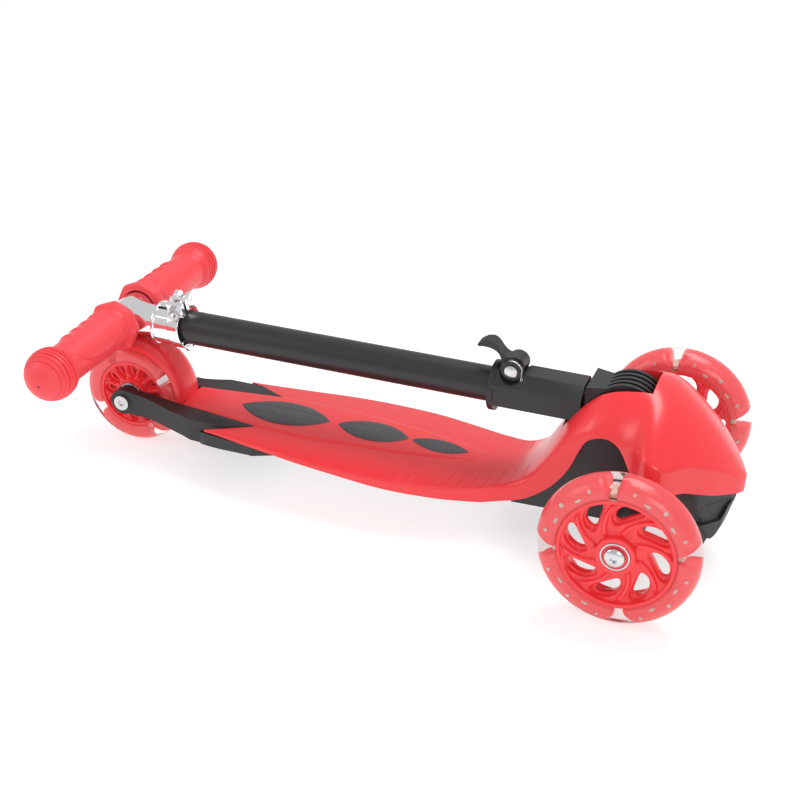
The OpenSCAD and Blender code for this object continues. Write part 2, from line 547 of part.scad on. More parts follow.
module outer_tube() color("#2c2c30") on_frame() difference() {
  forward(outer_d/2, collar_x - tube_end_x - 0.1, tube_end_x, stem_z);
  forward(outer_d/2 - tube_wall, 600, tube_end_x - 1, stem_z);
  // Clamping slit with a round end
  translate([0, 0, stem_z]) rotate([slit_turn, 0, 0]) {
    block([tube_end_x - 1, -1.5, 0], [tube_end_x + 40, 1.5, outer_d]);
    translate([tube_end_x + 40, 0, 0]) cylinder(r = 3, h = outer_d);
  }
}
module tube_bush() color("#dddddd") on_frame() difference() {
  forward(outer_d/2 - tube_wall - 0.05, 18, tube_end_x + 0.2, stem_z);
  forward(inner_d/2 + run_gap, 60, tube_end_x - 10, stem_z);
}
// The clamp's own frame: Z points from the tube's centre line out to the bolt
module on_clamp() translate([bolt_x, 0, stem_z]) rotate([clamp_turn, 0, 0]) children();
ear_t = 4;
module clamp_collar() color("#e4e6ea") on_frame() on_clamp() difference() {
  union() {
    translate([clamp_x - bolt_x, 0, 0]) rotate([0, 90, 0]) cylinder(r = outer_d/2 + 3, h = clamp_w, center = true);
    for (s = [-1, 1]) intersection() {
      translate([-ear_w/2, s*(1.5 + ear_t/2) - ear_t/2, outer_d/2 + 1]) cube([ear_w, ear_t, clamp_out - outer_d/2 + 6]);
      rotate([0, 90, 0]) cylinder(r = clamp_out + 6.5, h = ear_w, center = true);
    }
  }
  rotate([0, 90, 0]) cylinder(r = outer_d/2 + 0.02, h = 60, center = true);
  translate([-30, -1.5, 0]) cube([60, 3, 60]);
  across(clamp_bolt_r + run_gap, 60, 0, clamp_out);
}
lever_boss_r = 5.6;
lever_y = 1.5 + ear_t + free_gap + lever_boss_r;
clamp_bolt_r = 3;
cross_pin_r = 2.5;
bolt_ends = [-13.5, lever_y];
// Clamp bolt, whose far end is a cross pin that the lever turns on
module clamp_bolt() color("silver") on_frame() on_clamp() {
  across(clamp_bolt_r, bolt_ends[1] - bolt_ends[0], 0, clamp_out, (bolt_ends[0] + bolt_ends[1])/2);
  forward(cross_pin_r, ear_w, -ear_w/2, clamp_out, lever_y);
  translate([0, -1.5 - ear_t - 0.05, clamp_out]) rotate([90, 0, 0]) cylinder(r = 5.4, h = 4.5, $fn = 6);
}
// Cam lever: a boss on the bolt and a strap that wraps round the tube
module clamp_lever() color("#e4e6ea") on_frame() on_clamp() difference() {
  union() {
    translate([0, lever_y, clamp_out]) rotate([0, 90, 0]) cylinder(r = lever_boss_r, h = ear_w, center = true);
    intersection() {
      rotate([0, 90, 0]) difference() {
        cylinder(r = outer_d/2 + 7.4, h = ear_w - 2, center = true);
        cylinder(r = outer_d/2 + 4.4, h = ear_w + 4, center = true);
      }
      translate([-30, 0, 0]) rotate([90, 0, 90]) linear_extrude(60)
        polygon(concat([[0, 0]], arc([0, 0], 60, -112, 60, 10)));
    }
  }
  // Hole for the cross pin, and the slot that lets the lever swing past the bolt
  forward(cross_pin_r + run_gap, ear_w + 2, -ear_w/2 - 1, clamp_out, lever_y);
  translate([0, lever_y, clamp_out]) rotate([0, 90, 0])
    cylinder(r = lever_boss_r + 2*free_gap, h = 2*(clamp_bolt_r + free_gap), center = true);
}
module inner_tube() color("#e4e6ea") on_frame() difference() {
  forward(inner_d/2, tube_in_x + bar_reach - 14, -bar_reach + 14, stem_z);
  forward(inner_d/2 - tube_wall, 600, -bar_reach + 10, stem_z);
}
module inner_bush() color("#dddddd") on_frame() difference() {
  forward(outer_d/2 - tube_wall - run_gap, 9, tube_in_x, stem_z);
  forward(5, 40, tube_in_x - 10, stem_z);
}
module t_joint() color("#e4e6ea") on_frame() difference() {
  union() {
    across(T_d/2, 2*grip_in + 12, -bar_reach, stem_z);
    translate([-bar_reach + 8, 0, stem_z]) rotate([0, 90, 0]) cylinder(r1 = T_d/2 + 1, r2 = inner_d/2 + 1.4, h = 16, $fn = 64);
  }
  across(bar_d/2 + 0.02, 200, -bar_reach, stem_z);
  forward(inner_d/2 + 0.02, 40, -bar_reach + 14, stem_z);
}
module crossbar() color("#e4e6ea") on_frame() difference() {
  across(bar_d/2, bar_w - 24, -bar_reach, stem_z);
  across(bar_d/2 - tube_wall, bar_w, -bar_reach, stem_z);
}
ball_r = ball_d/2;
module grip(s) color("#f8484c") on_frame() translate([-bar_reach, 0, stem_z]) rotate([-90*s, 0, 0]) difference() {
  union() {
    rotate_extrude() polygon([[0, grip_in], [20.5, grip_in], [20.5, grip_in + 4], [17.2, grip_in + 16], [16.6, grip_in + 60],
      [16.2, bar_w/2 - 2*ball_r + 6], [0, bar_w/2 - 2*ball_r + 6]]);
    translate([0, 0, bar_w/2 - ball_r]) sphere(r = ball_r);
  }
  translate([0, 0, -1]) cylinder(r = bar_d/2 + 0.04, h = bar_w/2 - 10.5);
  translate([0, 0, -1]) cylinder(r = T_d/2 + 0.2, h = grip_in + 7.4);
}
module grip_left() grip(1);
module grip_right() grip(-1);

deck_shell();
front_housing();
rear_fork();
deck_plate();
pad_rear();
pad_middle();
pad_front();
deck_screws();
hinge_bracket();
hinge_pin();
lock_cam();
kingpin();
steering_bushings();
rear_axle_bolt();
rear_axle_spacers();
brake_pin();
brake_spring();
stem_socket();
hinge_knuckle();
outer_tube();
tube_bush();
clamp_collar();
clamp_bolt();
clamp_lever();
latch_rivet();
trigger_spring();
lock_plunger();
latch_trigger();
inner_tube();
inner_bush();
t_joint();
crossbar();
grip_left();
grip_right();
truck_beam();
axle_bolts();
tyre_left();
rim_left();
light_ring_left();
bearings_left();
magnet_left();
tyre_right();
rim_right();
light_ring_right();
bearings_right();
magnet_right();
tyre_rear();
rim_rear();
bearings_rear();
spacer_rear();
fender();
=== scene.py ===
import json
import bmesh
import bpy
import numpy as np
from mathutils import Matrix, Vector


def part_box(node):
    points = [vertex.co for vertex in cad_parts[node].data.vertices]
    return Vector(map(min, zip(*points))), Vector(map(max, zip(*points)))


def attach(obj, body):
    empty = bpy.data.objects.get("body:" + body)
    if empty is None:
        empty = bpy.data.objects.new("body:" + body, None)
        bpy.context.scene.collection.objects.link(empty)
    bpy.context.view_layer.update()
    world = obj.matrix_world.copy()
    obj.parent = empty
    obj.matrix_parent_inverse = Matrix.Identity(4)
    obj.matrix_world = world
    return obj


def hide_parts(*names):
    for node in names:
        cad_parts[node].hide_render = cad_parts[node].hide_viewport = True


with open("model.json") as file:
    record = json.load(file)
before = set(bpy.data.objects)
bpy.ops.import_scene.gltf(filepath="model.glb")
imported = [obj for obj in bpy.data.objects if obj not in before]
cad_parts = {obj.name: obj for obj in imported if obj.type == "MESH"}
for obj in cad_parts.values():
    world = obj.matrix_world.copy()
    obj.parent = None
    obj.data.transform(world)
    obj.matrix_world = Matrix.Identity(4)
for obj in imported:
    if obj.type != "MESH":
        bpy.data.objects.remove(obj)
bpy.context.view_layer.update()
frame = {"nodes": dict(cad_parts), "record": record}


def middle(node, k):
    """Middle of a node's box along axis k, in millimetres."""
    lo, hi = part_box(node)
    return 1000*(lo[k] + hi[k])/2


# measures that several pieces share
FRONT_AXLE = middle("tyre_left", 0)
TRACK = middle("tyre_left", 1)
REAR_X = middle("tyre_rear", 0) - FRONT_AXLE
FRONT_R = middle("tyre_left", 2)
REAR_R = middle("tyre_rear", 2)
RIVET_X, RIVET_Z = -113.3, 133.0


# ---------------------------------------------------------------- camera, light and floor
def camera():
    """Looks from the right front, down at the folded scooter: azimuth a, elevation e, rolled by r."""
    a, e, r = np.radians([19.36, 27.36, 1.84])
    place, lens, sensor = (0.36619, -1.03279, 0.65013), 69.12, 36
    ahead = np.array([-np.sin(a)*np.cos(e), np.cos(a)*np.cos(e), -np.sin(e)])
    right = np.cross(ahead, [0, 0, 1])
    right /= np.linalg.norm(right)
    up = np.cross(right, ahead)
    right, up = np.cos(r)*right + np.sin(r)*up, np.cos(r)*up - np.sin(r)*right
    data = bpy.data.cameras.new("camera")
    data.lens, data.sensor_width, data.clip_start = lens, sensor, 0.05
    cam = bpy.data.objects.new("camera", data)
    bpy.context.scene.collection.objects.link(cam)
    turn = np.eye(4)
    turn[:3, 0], turn[:3, 1], turn[:3, 2], turn[:3, 3] = right, up, -ahead, place
    cam.matrix_world = Matrix(turn.tolist())
    bpy.context.scene.camera = cam


def softbox(name, place, aim, size, watts):
    """A rectangular area light at place that faces aim."""
    light = bpy.data.lights.new(name, "AREA")
    light.shape, light.size, light.size_y, light.energy = "RECTANGLE", size[0], size[1], watts
    lamp = bpy.data.objects.new(name, light)
    bpy.context.scene.collection.objects.link(lamp)
    back = np.subtract(place, aim)
    back /= np.linalg.norm(back)
    side = np.cross([0, 0.01, 1], back)
    side /= np.linalg.norm(side)
    turn = np.eye(4)
    turn[:3, 0], turn[:3, 1], turn[:3, 2], turn[:3, 3] = side, np.cross(back, side), back, place
    lamp.matrix_world = Matrix(turn.tolist())


def studio():
    """A plain white floor, an even white surround and three softboxes."""
    scene = bpy.context.scene
    scene.view_settings.view_transform = "Standard"
    world = bpy.data.worlds.new("surround")
    world.use_nodes = True
    world.node_tree.nodes["Background"].inputs["Color"].default_value = (1, 1, 1, 1)
    world.node_tree.nodes["Background"].inputs["Strength"].default_value = 0.62
    scene.world = world
    softbox("top_light", (0.35, 0.5, 1.5), (0, 0, 0), (0.9, 0.7), 13)
    softbox("front_light", (0.9, -1.3, 0.8), (0.05, 0, 0.05), (0.6, 0.6), 5)
    softbox("left_light", (-1.2, -0.7, 0.9), (-0.05, 0, 0.05), (0.7, 0.7), 4)
    reach = 30.0
    corners = [(-reach, -reach, 0), (reach, -reach, 0), (reach, reach, 0), (-reach, reach, 0)]
    floor = bpy.data.meshes.new("floor")
    floor.from_pydata(corners, [], [(0, 1, 2, 3)])
    ground = bpy.data.objects.new("floor", floor)
    scene.collection.objects.link(ground)
    paint = bpy.data.materials.new("floor_white")
    paint.use_nodes = True
    shader = paint.node_tree.nodes["Principled BSDF"]
    shader.inputs["Base Color"].default_value = (0.55, 0.55, 0.55, 1)
    shader.inputs["Emission Color"].default_value = (1, 1, 1, 1)
    shader.inputs["Emission Strength"].default_value = 0.6
    shader.inputs["Roughness"].default_value = 0.9
    shader.inputs["Specular IOR Level"].default_value = 0.1
    floor.materials.append(paint)


# ---------------------------------------------------------------- shapes from arrays
def through(points, x):
    """Height or width y(x) through measured points: between two of them, a cubic in t = (x - a)/h,
    y = ya + (yb - ya)(3t^2 - 2t^3) + h t (1 - t)(ma (1 - t) - mb t), where m is the chord's slope past each point."""
    p, x = np.asarray(points, float), np.asarray(x, float)
    rise = np.empty(len(p))
    rise[1:-1] = (p[2:, 1] - p[:-2, 1])/(p[2:, 0] - p[:-2, 0])
    rise[0], rise[-1] = [(p[k + 1, 1] - p[k, 1])/(p[k + 1, 0] - p[k, 0]) for k in (0, -2)]
    i = np.clip(np.searchsorted(p[:, 0], x, side="right") - 1, 0, len(p) - 2)
    h = p[i + 1, 0] - p[i, 0]
    t = np.clip((x - p[i, 0])/h, 0, 1)
    return (p[i, 1] + (p[i + 1, 1] - p[i, 1])*t*t*(3 - 2*t)
            + h*t*(1 - t)*(rise[i]*(1 - t) - rise[i + 1]*t))


def ease(a, b, x):
    """0 up to a, 1 from b on and 3t^2 - 2t^3 between them, with t = (x - a)/(b - a); a may be the larger."""
    t = np.clip((np.asarray(x, float) - a)/(b - a), 0, 1)
    return t*t*(3 - 2*t)


def cells(rows, columns, closed=False, ring=False):
    """Corner numbers of the cells of a grid of points; closed joins the last column to the first, ring the last row."""
    i, j = np.meshgrid(np.arange(rows - (not ring)), np.arange(columns - (not closed)), indexing="ij")
    a, b = i*columns + j, i*columns + (j + 1) % columns
    c, d = (i + 1) % rows*columns + (j + 1) % columns, (i + 1) % rows*columns + j
    return np.stack([a, b, c, d], -1).reshape(-1, 4)


def capped(rows, columns):
    """The cells of a tube of closed outlines, rows of them, and the two faces that close its ends."""
    faces = [tuple(f) for f in cells(rows, columns, True)]
    return faces + [tuple(range(columns)), tuple(range((rows - 1)*columns, rows*columns))[::-1]]


def grid_of(*parts):
    """One grid of points from coordinates that stretch to the same rows and columns."""
    return np.stack(np.broadcast_arrays(*parts), -1)


def put(name, shells, body, finish, replaces=(), sharp=40):
    """Makes one piece from shells, a list of (points in mm, faces), welds it, turns its faces outward and
    sets it on its body."""
    points, faces, start = [], [], 0
    for p, f in shells:
        p = np.asarray(p, float).reshape(-1, 3)
        points.append(p)
        faces += [tuple(int(k) + start for k in face) for face in f]
        start += len(p)
    points = (np.concatenate(points) + [FRONT_AXLE, 0, 0])/1000
    mesh = bpy.data.meshes.new(name)
    mesh.from_pydata(points.tolist(), [], faces)
    work = bmesh.new()
    work.from_mesh(mesh)
    bmesh.ops.remove_doubles(work, verts=work.verts, dist=2e-6)
    bmesh.ops.dissolve_degenerate(work, edges=work.edges, dist=1e-6)
    bmesh.ops.recalc_face_normals(work, faces=work.faces)
    work.to_mesh(mesh)
    work.free()
    mesh.shade_smooth()
    mesh.set_sharp_from_angle(angle=np.radians(sharp))
    mesh.materials.append(finish)
    piece = bpy.data.objects.new(name, mesh)
    bpy.context.scene.collection.objects.link(piece)
    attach(piece, body)
    if replaces:
        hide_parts(*replaces)
    return piece


def soften(piece, width, angle):
    """Rounds a piece's edges that bend by more than angle degrees, to width millimetres."""
    bevel = piece.modifiers.new("edges", "BEVEL")
    bevel.width, bevel.segments, bevel.angle_limit = width/1000, 2, np.radians(angle)
    bevel.limit_method, bevel.harden_normals = "ANGLE", True


def filleted(corners, radius, steps=5):
    """A closed outline whose corners are arcs: each corner c becomes the curve (1-t)^2 a + 2t(1-t) c + t^2 b
    between points a and b, radius before and after it."""
    pts = [np.array(c, float) for c in corners]
    t = np.linspace(0, 1, steps + 1)[:, None]
    out = []
    for k, c in enumerate(pts):
        back, on = pts[k - 1] - c, pts[(k + 1) % len(pts)] - c
        r = min(radius, 0.49*np.linalg.norm(back), 0.49*np.linalg.norm(on))
        a, b = c + back/np.linalg.norm(back)*r, c + on/np.linalg.norm(on)*r
        out.append((1 - t)**2*a + 2*t*(1 - t)*c + t*t*b)
    return np.concatenate(out)


def turned(profile, steps, at, axis, flip=1):
    """A closed profile of (radius r, distance h along the axis) turned round the axis through at:
    the point (r cos u, r sin u) across the axis and flip*h along it."""
    r, h = np.asarray(profile, float).T
    u = np.linspace(0, 2*np.pi, steps, endpoint=False)
    across, up, along = r[:, None]*np.cos(u), r[:, None]*np.sin(u), flip*h[:, None] + 0*u
    order = {"y": (across, along, up), "x": (along, across, up), "z": (across, up, along)}[axis]
    return np.stack(order, -1).reshape(-1, 3) + at, cells(len(r), steps, True, True)


def bar_of(outline, y0, y1):
    """An outline in X and Z carried along Y from y0 to y1, with its two ends closed."""
    x, z = np.asarray(outline, float).T
    return grid_of(x[None], np.array([[y0], [y1]], float), z[None]), capped(2, len(x))


def mirrored(shells):
    """The shells and their reflections in the plane Y = 0."""
    return shells + [(np.asarray(p)*[1, -1, 1], f) for p, f in shells]


# ---------------------------------------------------------------- finishes
def finish_of(name, tone, deep, rough, spread=0.06, patch=60, grain=900, bump=0.03, depth=0.0002, **sockets):
    """A moulded or plated finish: its colour wanders between tone and deep over patches of noise,
    its roughness by spread about rough, and a grain of noise gives a height of bump times depth metres."""
    made = bpy.data.materials.new(name)
    made.use_nodes = True
    tree = made.node_tree
    shader = tree.nodes["Principled BSDF"]
    place = tree.nodes.new("ShaderNodeTexCoord")
    patches = tree.nodes.new("ShaderNodeTexNoise")
    patches.inputs["Scale"].default_value = patch
    patches.inputs["Detail"].default_value = 3
    tree.links.new(place.outputs["Object"], patches.inputs["Vector"])
    colour = tree.nodes.new("ShaderNodeMix")
    colour.data_type = "RGBA"
    colour.inputs["A"].default_value = (*tone, 1)
    colour.inputs["B"].default_value = (*deep, 1)
    tree.links.new(patches.outputs["Fac"], colour.inputs["Factor"])
    tree.links.new(colour.outputs["Result"], shader.inputs["Base Color"])
    grains = tree.nodes.new("ShaderNodeTexNoise")
    grains.inputs["Scale"].default_value = grain
    grains.inputs["Detail"].default_value = 2
    tree.links.new(place.outputs["Object"], grains.inputs["Vector"])
    sheen = tree.nodes.new("ShaderNodeMapRange")
    sheen.inputs["To Min"].default_value = rough - spread
    sheen.inputs["To Max"].default_value = rough + spread
    tree.links.new(grains.outputs["Fac"], sheen.inputs["Value"])
    tree.links.new(sheen.outputs["Result"], shader.inputs["Roughness"])
    height = tree.nodes.new("ShaderNodeBump")
    height.inputs["Strength"].default_value = bump
    height.inputs["Distance"].default_value = depth
    tree.links.new(grains.outputs["Fac"], height.inputs["Height"])
    tree.links.new(height.outputs["Normal"], shader.inputs["Normal"])
    for socket, value in sockets.items():
        shader.inputs[socket.replace("_", " ")].default_value = value
    return made


RED = finish_of("red_plastic", (0.88, 0.036, 0.044), (0.82, 0.03, 0.038), 0.3, 0.05, 25, 1400, 0.05,
                Coat_Weight=0.15, Coat_Roughness=0.12)
GRIP = finish_of("red_grip", (0.9, 0.06, 0.075), (0.84, 0.052, 0.065), 0.42, 0.06, 30, 2200, 0.12)
RIM_RED = finish_of("rim_red", (0.92, 0.05, 0.06), (0.87, 0.043, 0.052), 0.22, 0.02, 40, 1200, 0.01)
BLACK = finish_of("black_plastic", (0.021, 0.021, 0.024), (0.015, 0.015, 0.017), 0.42, 0.08, 40, 2600, 0.3)
PAINT = finish_of("black_paint", (0.022, 0.022, 0.025), (0.017, 0.017, 0.019), 0.33, 0.05, 30, 1500, 0.08)
PAD = finish_of("grey_rubber", (0.074, 0.073, 0.082), (0.06, 0.06, 0.067), 0.5, 0.08, 50, 3000, 0.3)
CHROME = finish_of("chrome", (0.95, 0.95, 0.96), (0.9, 0.9, 0.92), 0.09, 0.03, 30, 400, 0.01, Metallic=1.0)
STEEL = finish_of("steel", (0.7, 0.7, 0.72), (0.62, 0.62, 0.64), 0.24, 0.04, 80, 900, 0.015, Metallic=1.0)
NYLON = finish_of("nylon", (0.8, 0.8, 0.78), (0.74, 0.74, 0.72), 0.5, 0.05, 60, 1500, 0.05)
# The tyre core's faint red emission is a painted glow. It stands in for light scattered through the translucent
# polyurethane; the core is no lamp.
TYRE_RED_PAINTED_GLOW = finish_of("red_polyurethane", (0.98, 0.13, 0.145), (0.95, 0.11, 0.12), 0.25, 0.04, 35, 700, 0.01,
                     Emission_Color=(1.0, 0.12, 0.12, 1), Emission_Strength=0.12)
CLEAR = finish_of("clear_polyurethane", (1.0, 0.9, 0.9), (1.0, 0.86, 0.86), 0.05, 0.02, 35, 500, 0.01,
                  Transmission_Weight=1.0, IOR=1.33)
MILK = finish_of("light_unit", (0.86, 0.78, 0.66), (0.8, 0.72, 0.6), 0.4, 0.05, 60, 900, 0.05)
SLOTS = {"red_plastic": RED, "red_grip": GRIP, "black_plastic": BLACK, "grey_rubber": PAD, "black_paint": PAINT,
         "chrome": CHROME, "steel": STEEL, "nylon": NYLON, "clear_red_tyre": TYRE_RED_PAINTED_GLOW, "light_unit": MILK}


def dress_frame():
    """Gives every carried-over solid the finish of its slot."""
    for part in frame["record"]["subparts"]:
        solid = frame["nodes"][part["node"]]
        solid.data.materials.clear()
        solid.data.materials.append(SLOTS[part["material_slot"]])


# ---------------------------------------------------------------- deck moulding
# Plans and profiles are lists of (x, value) that through() joins: the half width, the top's height on the centre
# line, its drop at the edge, the lower rim, the raised panel's half width, the crown's power and the edge's radius.
HINGE_X, HINGE_Z = -22.5, 115.0
BARREL_CLEAR = 27.0
SLOT = 19.6
SLOT_BACK, SLOT_FRONT, SLOT_FLOOR = -69.0, -2.5, 92
WING_X, NOTCH_X, TONGUE_X, NOSE_X = -359.0, -321.5, -393.0, 71.0
PLAN = [(-393, 46.1), (-359, 47.4), (-314, 53.2), (-250, 60.9), (-190.7, 61.5), (-150.4, 55.4), (-122, 46.7),
        (-106, 41), (-90, 39.5), (-70, 39.5), (-50, 41.5), (-34, 44), (-20, 47), (-8, 54), (2, 66), (10, 69),
        (18, 67), (26, 59), (35, 48.5), (50, 33), (60, 21), (68, 11), (71, 5)]
TOP = [(-393, 50), (-250, 50), (-190.7, 49), (-134, 47.8), (-108, 50.5), (-96, 57), (-86, 69), (-77, 85),
       (-68, 101), (-58, 116), (-49, 127), (-40, 135.5), (-30, 140.5), (-18, 143), (-4, 143.2), (8, 139.5),
       (22, 130.5), (36, 118.5), (50, 103.5), (60, 91.5), (71, 77)]
DROP = [(-393, 2.4), (-359, 2.6), (-250, 4.4), (-150.4, 4.2), (-108, 2.8), (-96, 4), (-86, 8), (-76, 12.5),
        (-60, 15), (-46, 21), (-34, 28), (-20, 32.5), (-4, 34), (8, 32), (20, 29), (35, 18), (50, 9.5),
        (60, 4.5), (71, 1.5)]
RIM = [(-393, 46), (-359, 46), (-310, 43.5), (-267, 42), (-232, 40), (-198, 37), (-166, 35), (-135, 33.6),
       (-113, 33.7), (-91, 40), (-72, 53.5), (-61, 67), (-54, 80), (-50, 91), (-44.5, 102), (-34, 108),
       (-25, 108), (-17, 103), (-10, 93), (-1, 82.5), (10, 80.5), (30, 81), (40, 77), (54, 71), (71, 66)]
PANEL = [(-321.5, 28.1), (-277, 30), (-235, 26), (-194, 21), (-158, 14), (-136, 7.5), (-124, 6.5), (-104, 12),
         (-80, 19.6), (-69, 19.6)]
CROWN = [(-393, 1.8), (-110, 1.8), (-60, 2.2), (-20, 2.3), (20, 1.9), (71, 1.8)]
CORNER = [(-393, 1.2), (-330, 1.8), (-120, 2), (-95, 5), (-60, 7), (-20, 7), (-4, 5), (6, 2.6), (71, 2.2)]
GROOVES = np.arange(-244, -84, 9.0)
PANEL_RISE = 0.8
GROOVE_BOW, GROOVE_HALF, GROOVE_DEEP = 6.0, 0.8, 0.3
WALL = 2.8


def top_of(x, y):
    """Height of the moulding's top: top(x) - drop(x) (|y|/plan(x))^crown(x)."""
    return through(TOP, x) - through(DROP, x)*np.minimum(1, np.abs(y)/through(PLAN, x))**through(CROWN, x)


def deck_stations():
    """Rows along the deck, closer over the grooves, the neck and the nose."""
    rows = [np.arange(TONGUE_X, -96, 3.0), np.arange(-96, NOSE_X - 2, 1.6), np.linspace(NOSE_X - 2, NOSE_X, 5),
            [WING_X, NOTCH_X, -316, SLOT_BACK, SLOT_FRONT]]
    rows += [GROOVES + d*GROOVE_HALF for d in (-1, -0.5, 0, 0.5, 1)]
    x = np.unique(np.round(np.concatenate(rows), 3))
    keep = np.ones(len(x), bool)
    for fixed in (WING_X, NOTCH_X, SLOT_BACK, SLOT_FRONT):
        keep &= ~((np.abs(x - fixed) < 0.7) & (x != fixed))
    return x[keep]


def deck_half():
    """Half of the moulding's outside, as shells. A row holds the raised centre panel, the middle and the outer
    strip of the top, the rounded edge (1-t)^2 a + 2t(1-t) b + t^2 c and the side wall down to the rim. Over the
    grooves, which are cosines 0.3 mm deep and 1.6 mm wide, rows bend back by 6 bow (y/55)^2 mm."""
    x = deck_stations()[:, None]
    w, rim = through(PLAN, x), through(RIM, x)
    tongue = 17.35 + 10.75*(x - TONGUE_X)/(NOTCH_X - TONGUE_X)
    wing = 28.1 + 19.3*(NOTCH_X - x)/(NOTCH_X - WING_X)
    inner = np.where(x < NOTCH_X, tongue, np.where(x < SLOT_BACK, through(PANEL, x), np.minimum(SLOT, 0.45*w)))
    outer = np.where(x < NOTCH_X, wing, inner + (w - inner)*0.4*ease(NOTCH_X, -290, x))
    outer = np.where(x < WING_X, w, outer)
    corner = np.minimum(through(CORNER, x), 0.45*(w - outer))
    a = np.linspace(0, 1, 13)*(inner - 1.2)
    a = np.hstack([a, inner - 0.8, inner - 0.4, inner])
    b = inner + (outer - inner)*np.linspace(0, 1, 8)[1:]
    c = outer + (w - corner - outer)*np.linspace(0, 1, 18)[1:]
    y = np.hstack([a, b, c])
    z = top_of(x, y)
    panel = PANEL_RISE*(1 - ease(-150, -128, x))*(1 - ease(inner - 1.1, inner, y))
    z = z + np.where(y < inner, panel, 0)
    bow = ease(-330, -260, x)*(1 - ease(-112, -86, x))
    gap = np.min(np.abs(x - GROOVES[None]), axis=1, keepdims=True)
    fade = ease(-252, -150, x)*ease(0.96, 0.9, y/w)*ease(inner + 0.5, inner + 3, y)
    z = z - np.where(gap < GROOVE_HALF, GROOVE_DEEP*(1 + np.cos(np.pi*gap/GROOVE_HALF))/2, 0)*fade
    edge = through(TOP, x) - through(DROP, x)
    drop = np.minimum(corner, 0.45*np.maximum(edge - rim, 0.5))
    t = np.linspace(0, 1, 7)[1:]
    ya = (1 - t)**2*(w - corner) + 2*t*(1 - t)*w + t*t*w
    za = (1 - t)**2*z[:, -1:] + 2*t*(1 - t)*edge + t*t*(edge - drop)
    s = np.linspace(0, 1, 7)[1:]
    y = np.hstack([y, ya, np.repeat(w, 6, 1)])
    z = np.hstack([z, za, (edge - drop)*(1 - s) + rim*s])
    points = np.stack([x - bow*GROOVE_BOW*(y/55)**2, y, z], -1)
    n, m = y.shape
    faces = cells(n, m).reshape(n - 1, m - 1, 4)
    mid = (x[1:, 0] + x[:-1, 0])/2
    na, nb = a.shape[1] - 1, a.shape[1] - 1 + b.shape[1]
    keep = np.ones((n - 1, m - 1), bool)
    keep[(mid > SLOT_BACK) & (mid < SLOT_FRONT), :na] = False
    keep[mid < NOTCH_X, na:nb] = False
    keep[mid < WING_X, nb:] = False
    shells = [(points, faces[keep])]
    # the slot's side wall, from the top's edge down to a level line
    slot = np.flatnonzero((x[:, 0] >= SLOT_BACK) & (x[:, 0] <= SLOT_FRONT))
    edge_line = points[slot, na]
    s = np.linspace(0, 1, 8)
    wall = np.repeat(edge_line[:, None], len(s), 1)
    wall[..., 2] = edge_line[:, 2:]*(1 - s) + np.minimum(SLOT_FLOOR, edge_line[:, 2:] - 3)*s
    shells.append((wall, cells(len(slot), len(s))))
    # the slot's front wall: straight down, then round the barrel
    line = points[slot[-1], :na + 1]
    turn = np.radians(np.linspace(42, -25, 12))
    round_barrel = np.column_stack([HINGE_X + BARREL_CLEAR*np.cos(turn), HINGE_Z + BARREL_CLEAR*np.sin(turn)])
    down = np.vstack([[[SLOT_FRONT, 139], [SLOT_FRONT, 134.5]], round_barrel])
    front = np.repeat(line[:, None], len(down) + 1, 1)
    front[:, 1:, 0], front[:, 1:, 2] = down[:, 0], down[:, 1]
    shells.append((front, cells(len(line), len(down) + 1)))
    return shells


def deck_moulding():
    """The red moulding: the outside of both halves and its closed nose tip, given a wall 2.8 mm thick inward
    and small round edges."""
    half = deck_half()
    tip = half[0][0][-1]
    tip = np.concatenate([tip, tip[:0:-1]*[1, -1, 1]])
    cap = [(tip, [tuple(range(len(tip)))])]
    piece = put("deck_moulding", mirrored(half) + cap, "deck", RED, ["deck_shell"], sharp=46)
    face_up(piece)
    wall = piece.modifiers.new("wall", "SOLIDIFY")
    wall.thickness, wall.offset, wall.use_even_offset = WALL/1000, -1, True
    soften(piece, 0.55, 52)


def face_up(piece):
    """Turns an open skin so that most of its area faces up."""
    work = bmesh.new()
    work.from_mesh(piece.data)
    if sum(f.normal.z*f.calc_area() for f in work.faces) < 0:
        bmesh.ops.reverse_faces(work, faces=work.faces)
    work.to_mesh(piece.data)
    work.free()


